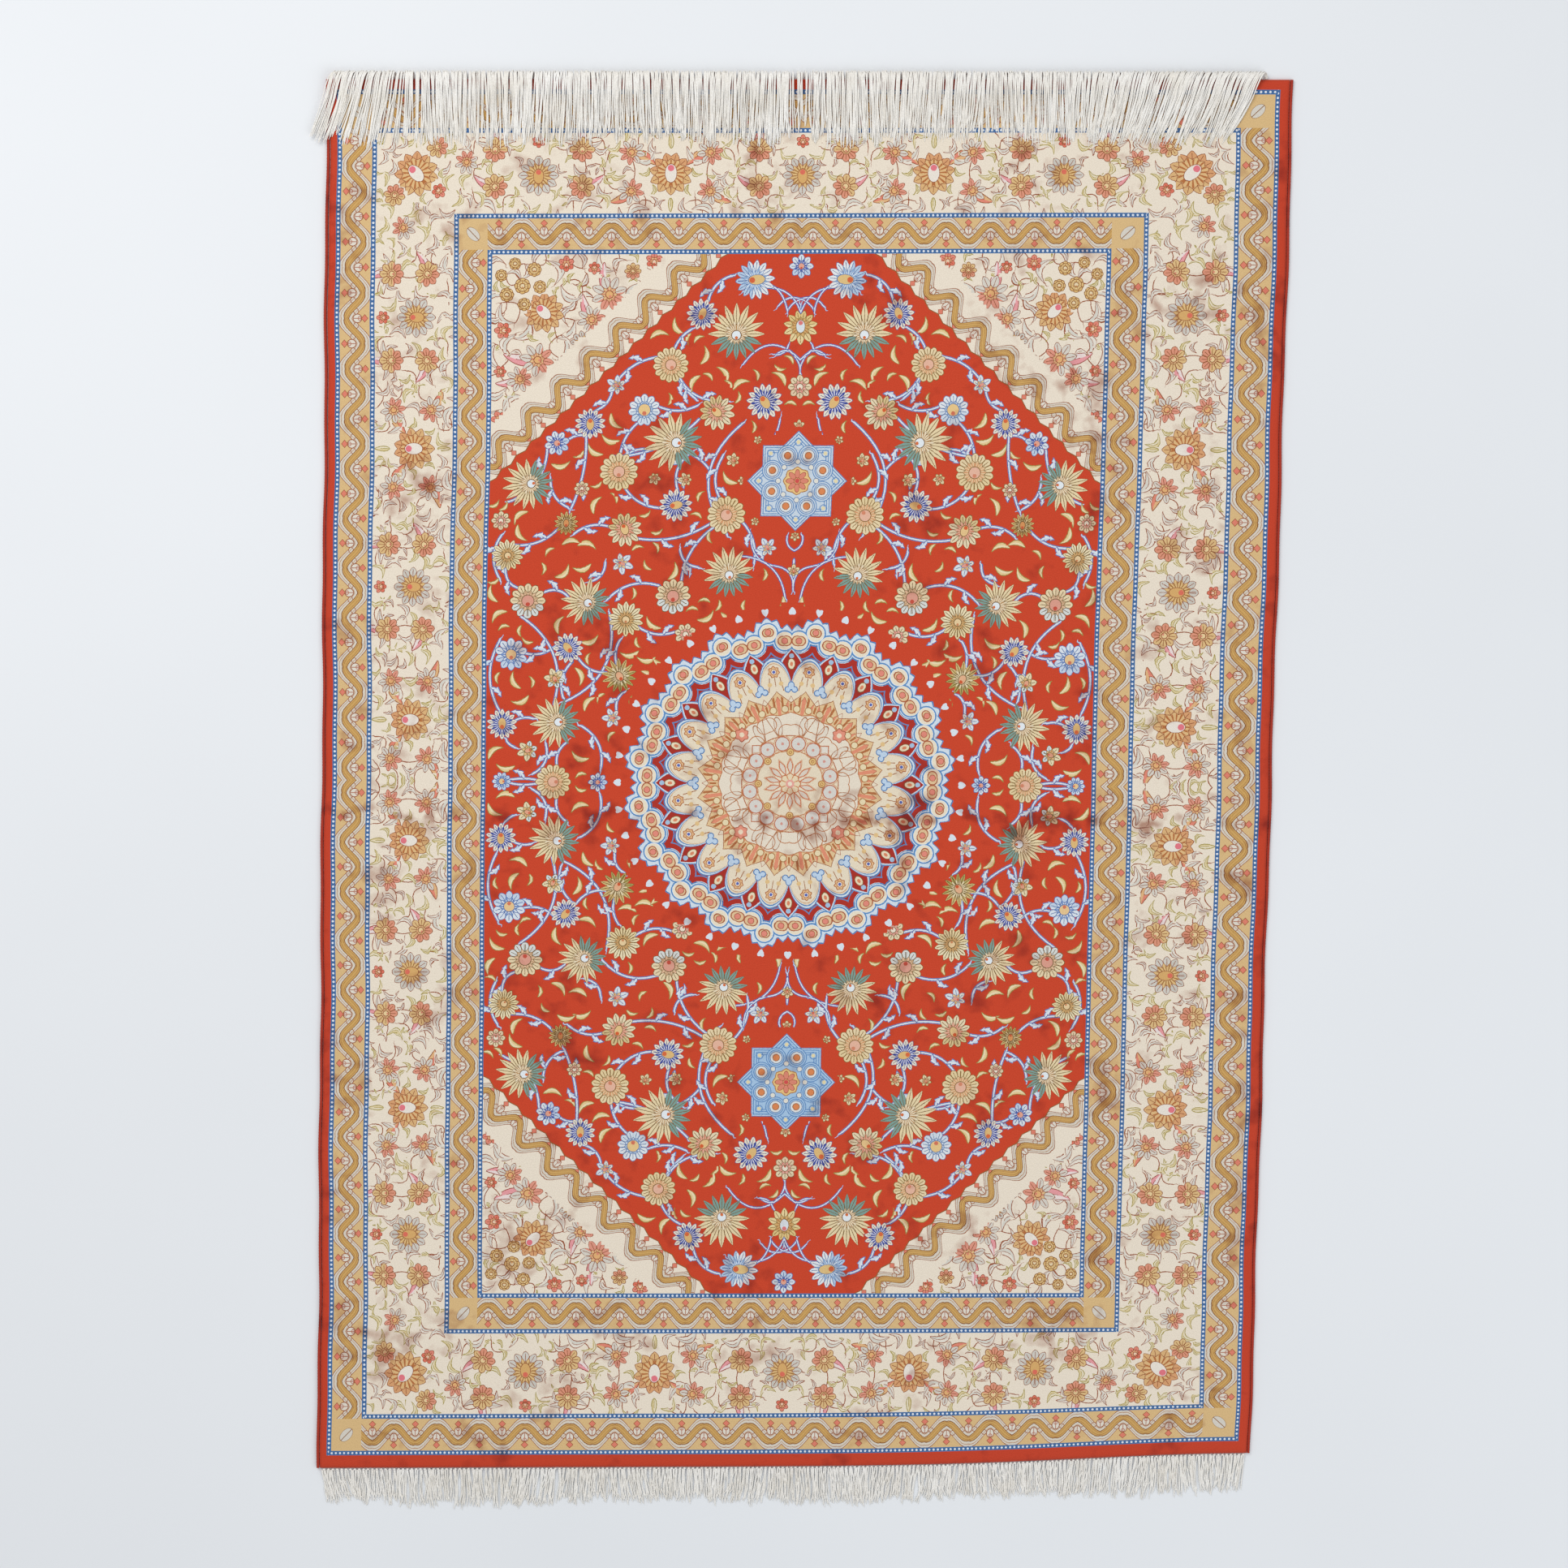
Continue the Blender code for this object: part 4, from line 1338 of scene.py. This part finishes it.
# --- Fringes --------------------------------------------------------------------------
# The ends of the silk warps, left long and knotted together in small bunches against
# each end of the pile. The top one has turned over and lies on the face of the rug, and
# the bottom one lies out on the floor.
KNOT_PITCH = 0.0046
KNOT_RADIUS = 0.00165
KNOT_OUT = 0.0019
STRAND_RADIUS = 0.00056
FRINGE_GAP = 0.0003
STRAND_LAYERS = 3

fringe_silk, sockets = start_material("fringe_silk")
place = Yarn.node("ShaderNodeTexCoord", output="Object")
ply = noise(place, 620.0, 1.0).other_output("Fac")
soil = noise(place, 26.0, 3.0).other_output("Fac")
colour = blend(soil, "ffffff", "efe9de")
colour = blend(0.8, colour, blend(ply, "dad6ce", "ffffff"), "MULTIPLY")
links = fringe_silk.node_tree.links
links.new(colour.socket, sockets["Base Color"])
links.new((0.70 - 0.2 * ply).socket, sockets["Roughness"])
bump = Yarn.node("ShaderNodeBump", {}, {"Strength": 0.5, "Distance": 0.0003, "Height": ply})
links.new(bump.socket, sockets["Normal"])
sockets["Sheen Weight"].default_value = 0.2
sockets["Sheen Roughness"].default_value = 0.4


def strand_points(start, fall, tip, lean, sweep, bow, twist):
    """A strand's middle line: out of its knot, over its fall, then on to its tip."""
    places = list(fall) + [tip]
    last = len(places) - 1
    ways = []
    for number, (out, high) in enumerate(places):
        share = (number / last) ** 1.6
        aside = lean * share + bow * math.sin(math.pi * share) + twist * math.sin(5.2 * share + sweep)
        ways.append((start[0] + aside, start[1] + out, high))
    return ways


def add_strand(curve, points, thick):
    spline = curve.splines.new("POLY")
    spline.points.add(len(points) - 1)
    for number, (x, y, z) in enumerate(points):
        far_x, far_y = pulled(x, y)
        spline.points[number].co = (far_x, far_y, z, 1.0)
        spline.points[number].radius = thick * (1.0 if number < len(points) - 1 else 0.55)


def bunch_of(curve, knot_x, edge, outwards, count, route):
    """All the strands of one knot."""
    for _ in range(count):
        start = (knot_x + random.uniform(-0.0017, 0.0017), edge + outwards * FRINGE_GAP)
        add_strand(curve, route(start), random.uniform(0.85, 1.15))


def top_route(lean, gather, tip_far, layer):
    """Over the end of the rug and down its face."""
    def route(start):
        lift = random.uniform(0.92, 1.1) * (1.0 + 0.10 * layer)
        far = tip_far * random.uniform(0.93, 1.05)
        rest_height = 0.0047 + 0.0009 * layer + random.uniform(0.0, 0.0005)
        fall = [
            (0.0022, 0.0019), (0.0054 * lift, 0.0034), (0.0068 * lift, 0.0060),
            (0.0054 * lift, 0.0086), (0.0008, 0.0092 * (0.94 + 0.06 * lift)),
            (-0.0080, 0.0073 + 0.0004 * layer), (-0.0200, rest_height + 0.0006),
        ]
        stretch = far - 0.0200
        fall += [(-0.0200 - stretch * share, rest_height) for share in (0.25, 0.5, 0.75)]
        aside = lean + gather * random.uniform(0.5, 1.3) + random.gauss(0.0, 0.0016)
        if random.random() < 0.05:
            aside += random.uniform(-0.008, 0.008)
        return strand_points(start, fall, (-far, 0.0044), aside, random.uniform(0, 6.3),
                             random.gauss(0.0, 0.0013), random.uniform(0.0, 0.0009))
    return route


def bottom_route(lean, gather, tip_far, layer):
    """Out on the floor from the bottom edge."""
    def route(start):
        far = tip_far * random.uniform(0.90, 1.05)
        low = 0.0006 + 0.0008 * layer
        fall = [(-0.0022, 0.0018), (-0.0065, 0.0016 + 0.0004 * layer), (-0.0130, low + 0.0003)]
        stretch = far - 0.0130
        fall += [(-0.0130 - stretch * share, low) for share in (0.25, 0.5, 0.75)]
        aside = lean + gather * random.uniform(0.4, 1.3) + random.gauss(0.0, 0.0020)
        return strand_points(start, fall, (-far, 0.0006), aside, random.uniform(0, 6.3),
                             random.gauss(0.0, 0.0018), random.uniform(0.0, 0.0010))
    return route


# Each fringe: its piece and node, its span along the end, the edge and which way is out,
# how long its strands are, how far they lean and from how far in at either end, the
# strands of a knot, and its route.
for name, node, span, edge, outwards, reaches, flare, counts, route_of in (
    ("knotted_fringe_top", "fringe_top", (-0.4800, 0.4860), TOP_EDGE, 1.0, (0.054, 0.068),
     (-0.024, 0.10, -0.036, 0.24), (4, 4), top_route),
    ("knotted_fringe_bottom", "fringe_bottom", (-0.4850, 0.5070), BOTTOM_EDGE, -1.0,
     (0.034, 0.043), (0.008, 0.10, -0.004, 0.08), (4, 5), bottom_route),
):
    random.seed(len(name))
    curve = thread(name, STRAND_RADIUS, 1)
    knots = round((span[1] - span[0]) / KNOT_PITCH)
    bm = bmesh.new()
    wander = 0.0
    for number in range(knots + 1):
        knot_x = span[0] + (span[1] - span[0]) * number / knots
        lean = flare[0] * float(smooth_step(flare[1], 0.0, knot_x - span[0]))
        lean += flare[2] * float(smooth_step(flare[3], 0.0, span[1] - knot_x))
        lean += 0.0030 * math.sin(31.0 * knot_x) + 0.0016 * math.sin(83.0 * knot_x + 2.0)
        wander = 0.6 * wander + random.gauss(0.0, 0.0011)
        reach = random.uniform(*reaches) + 0.0025 * math.sin(17.0 * knot_x + 1.0)
        if outwards > 0:
            thin = math.exp(-(((knot_x - 0.003) / 0.010) ** 2))
            reach *= 1.0 - 0.28 * thin
            strands = counts[0] - (2 if thin > 0.4 else 0)
        else:
            strands = random.randint(*counts)
        for layer in range(STRAND_LAYERS):
            if layer == 2 and number % 4:
                continue
            share = strands if layer < 2 else 1
            share = share if layer == 0 or outwards < 0 else max(1, share - 1)
            if layer == 1 and outwards < 0:
                share = 1
            bunch_of(curve, knot_x, edge, outwards, share, route_of(lean, wander, reach, layer))
        knot_way = Vector((*pulled(knot_x, edge + outwards * KNOT_OUT), KNOT_RADIUS + 0.0002))
        shape = Matrix.Translation(knot_way) @ Matrix.Diagonal((1.0, 0.85, 0.95, 1.0))
        bmesh.ops.create_icosphere(bm, subdivisions=1, radius=KNOT_RADIUS, matrix=shape)
    add_thread(bm, curve)
    fringe = mesh_piece(name, bm, [fringe_silk])
    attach(fringe, "root")
    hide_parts(node)
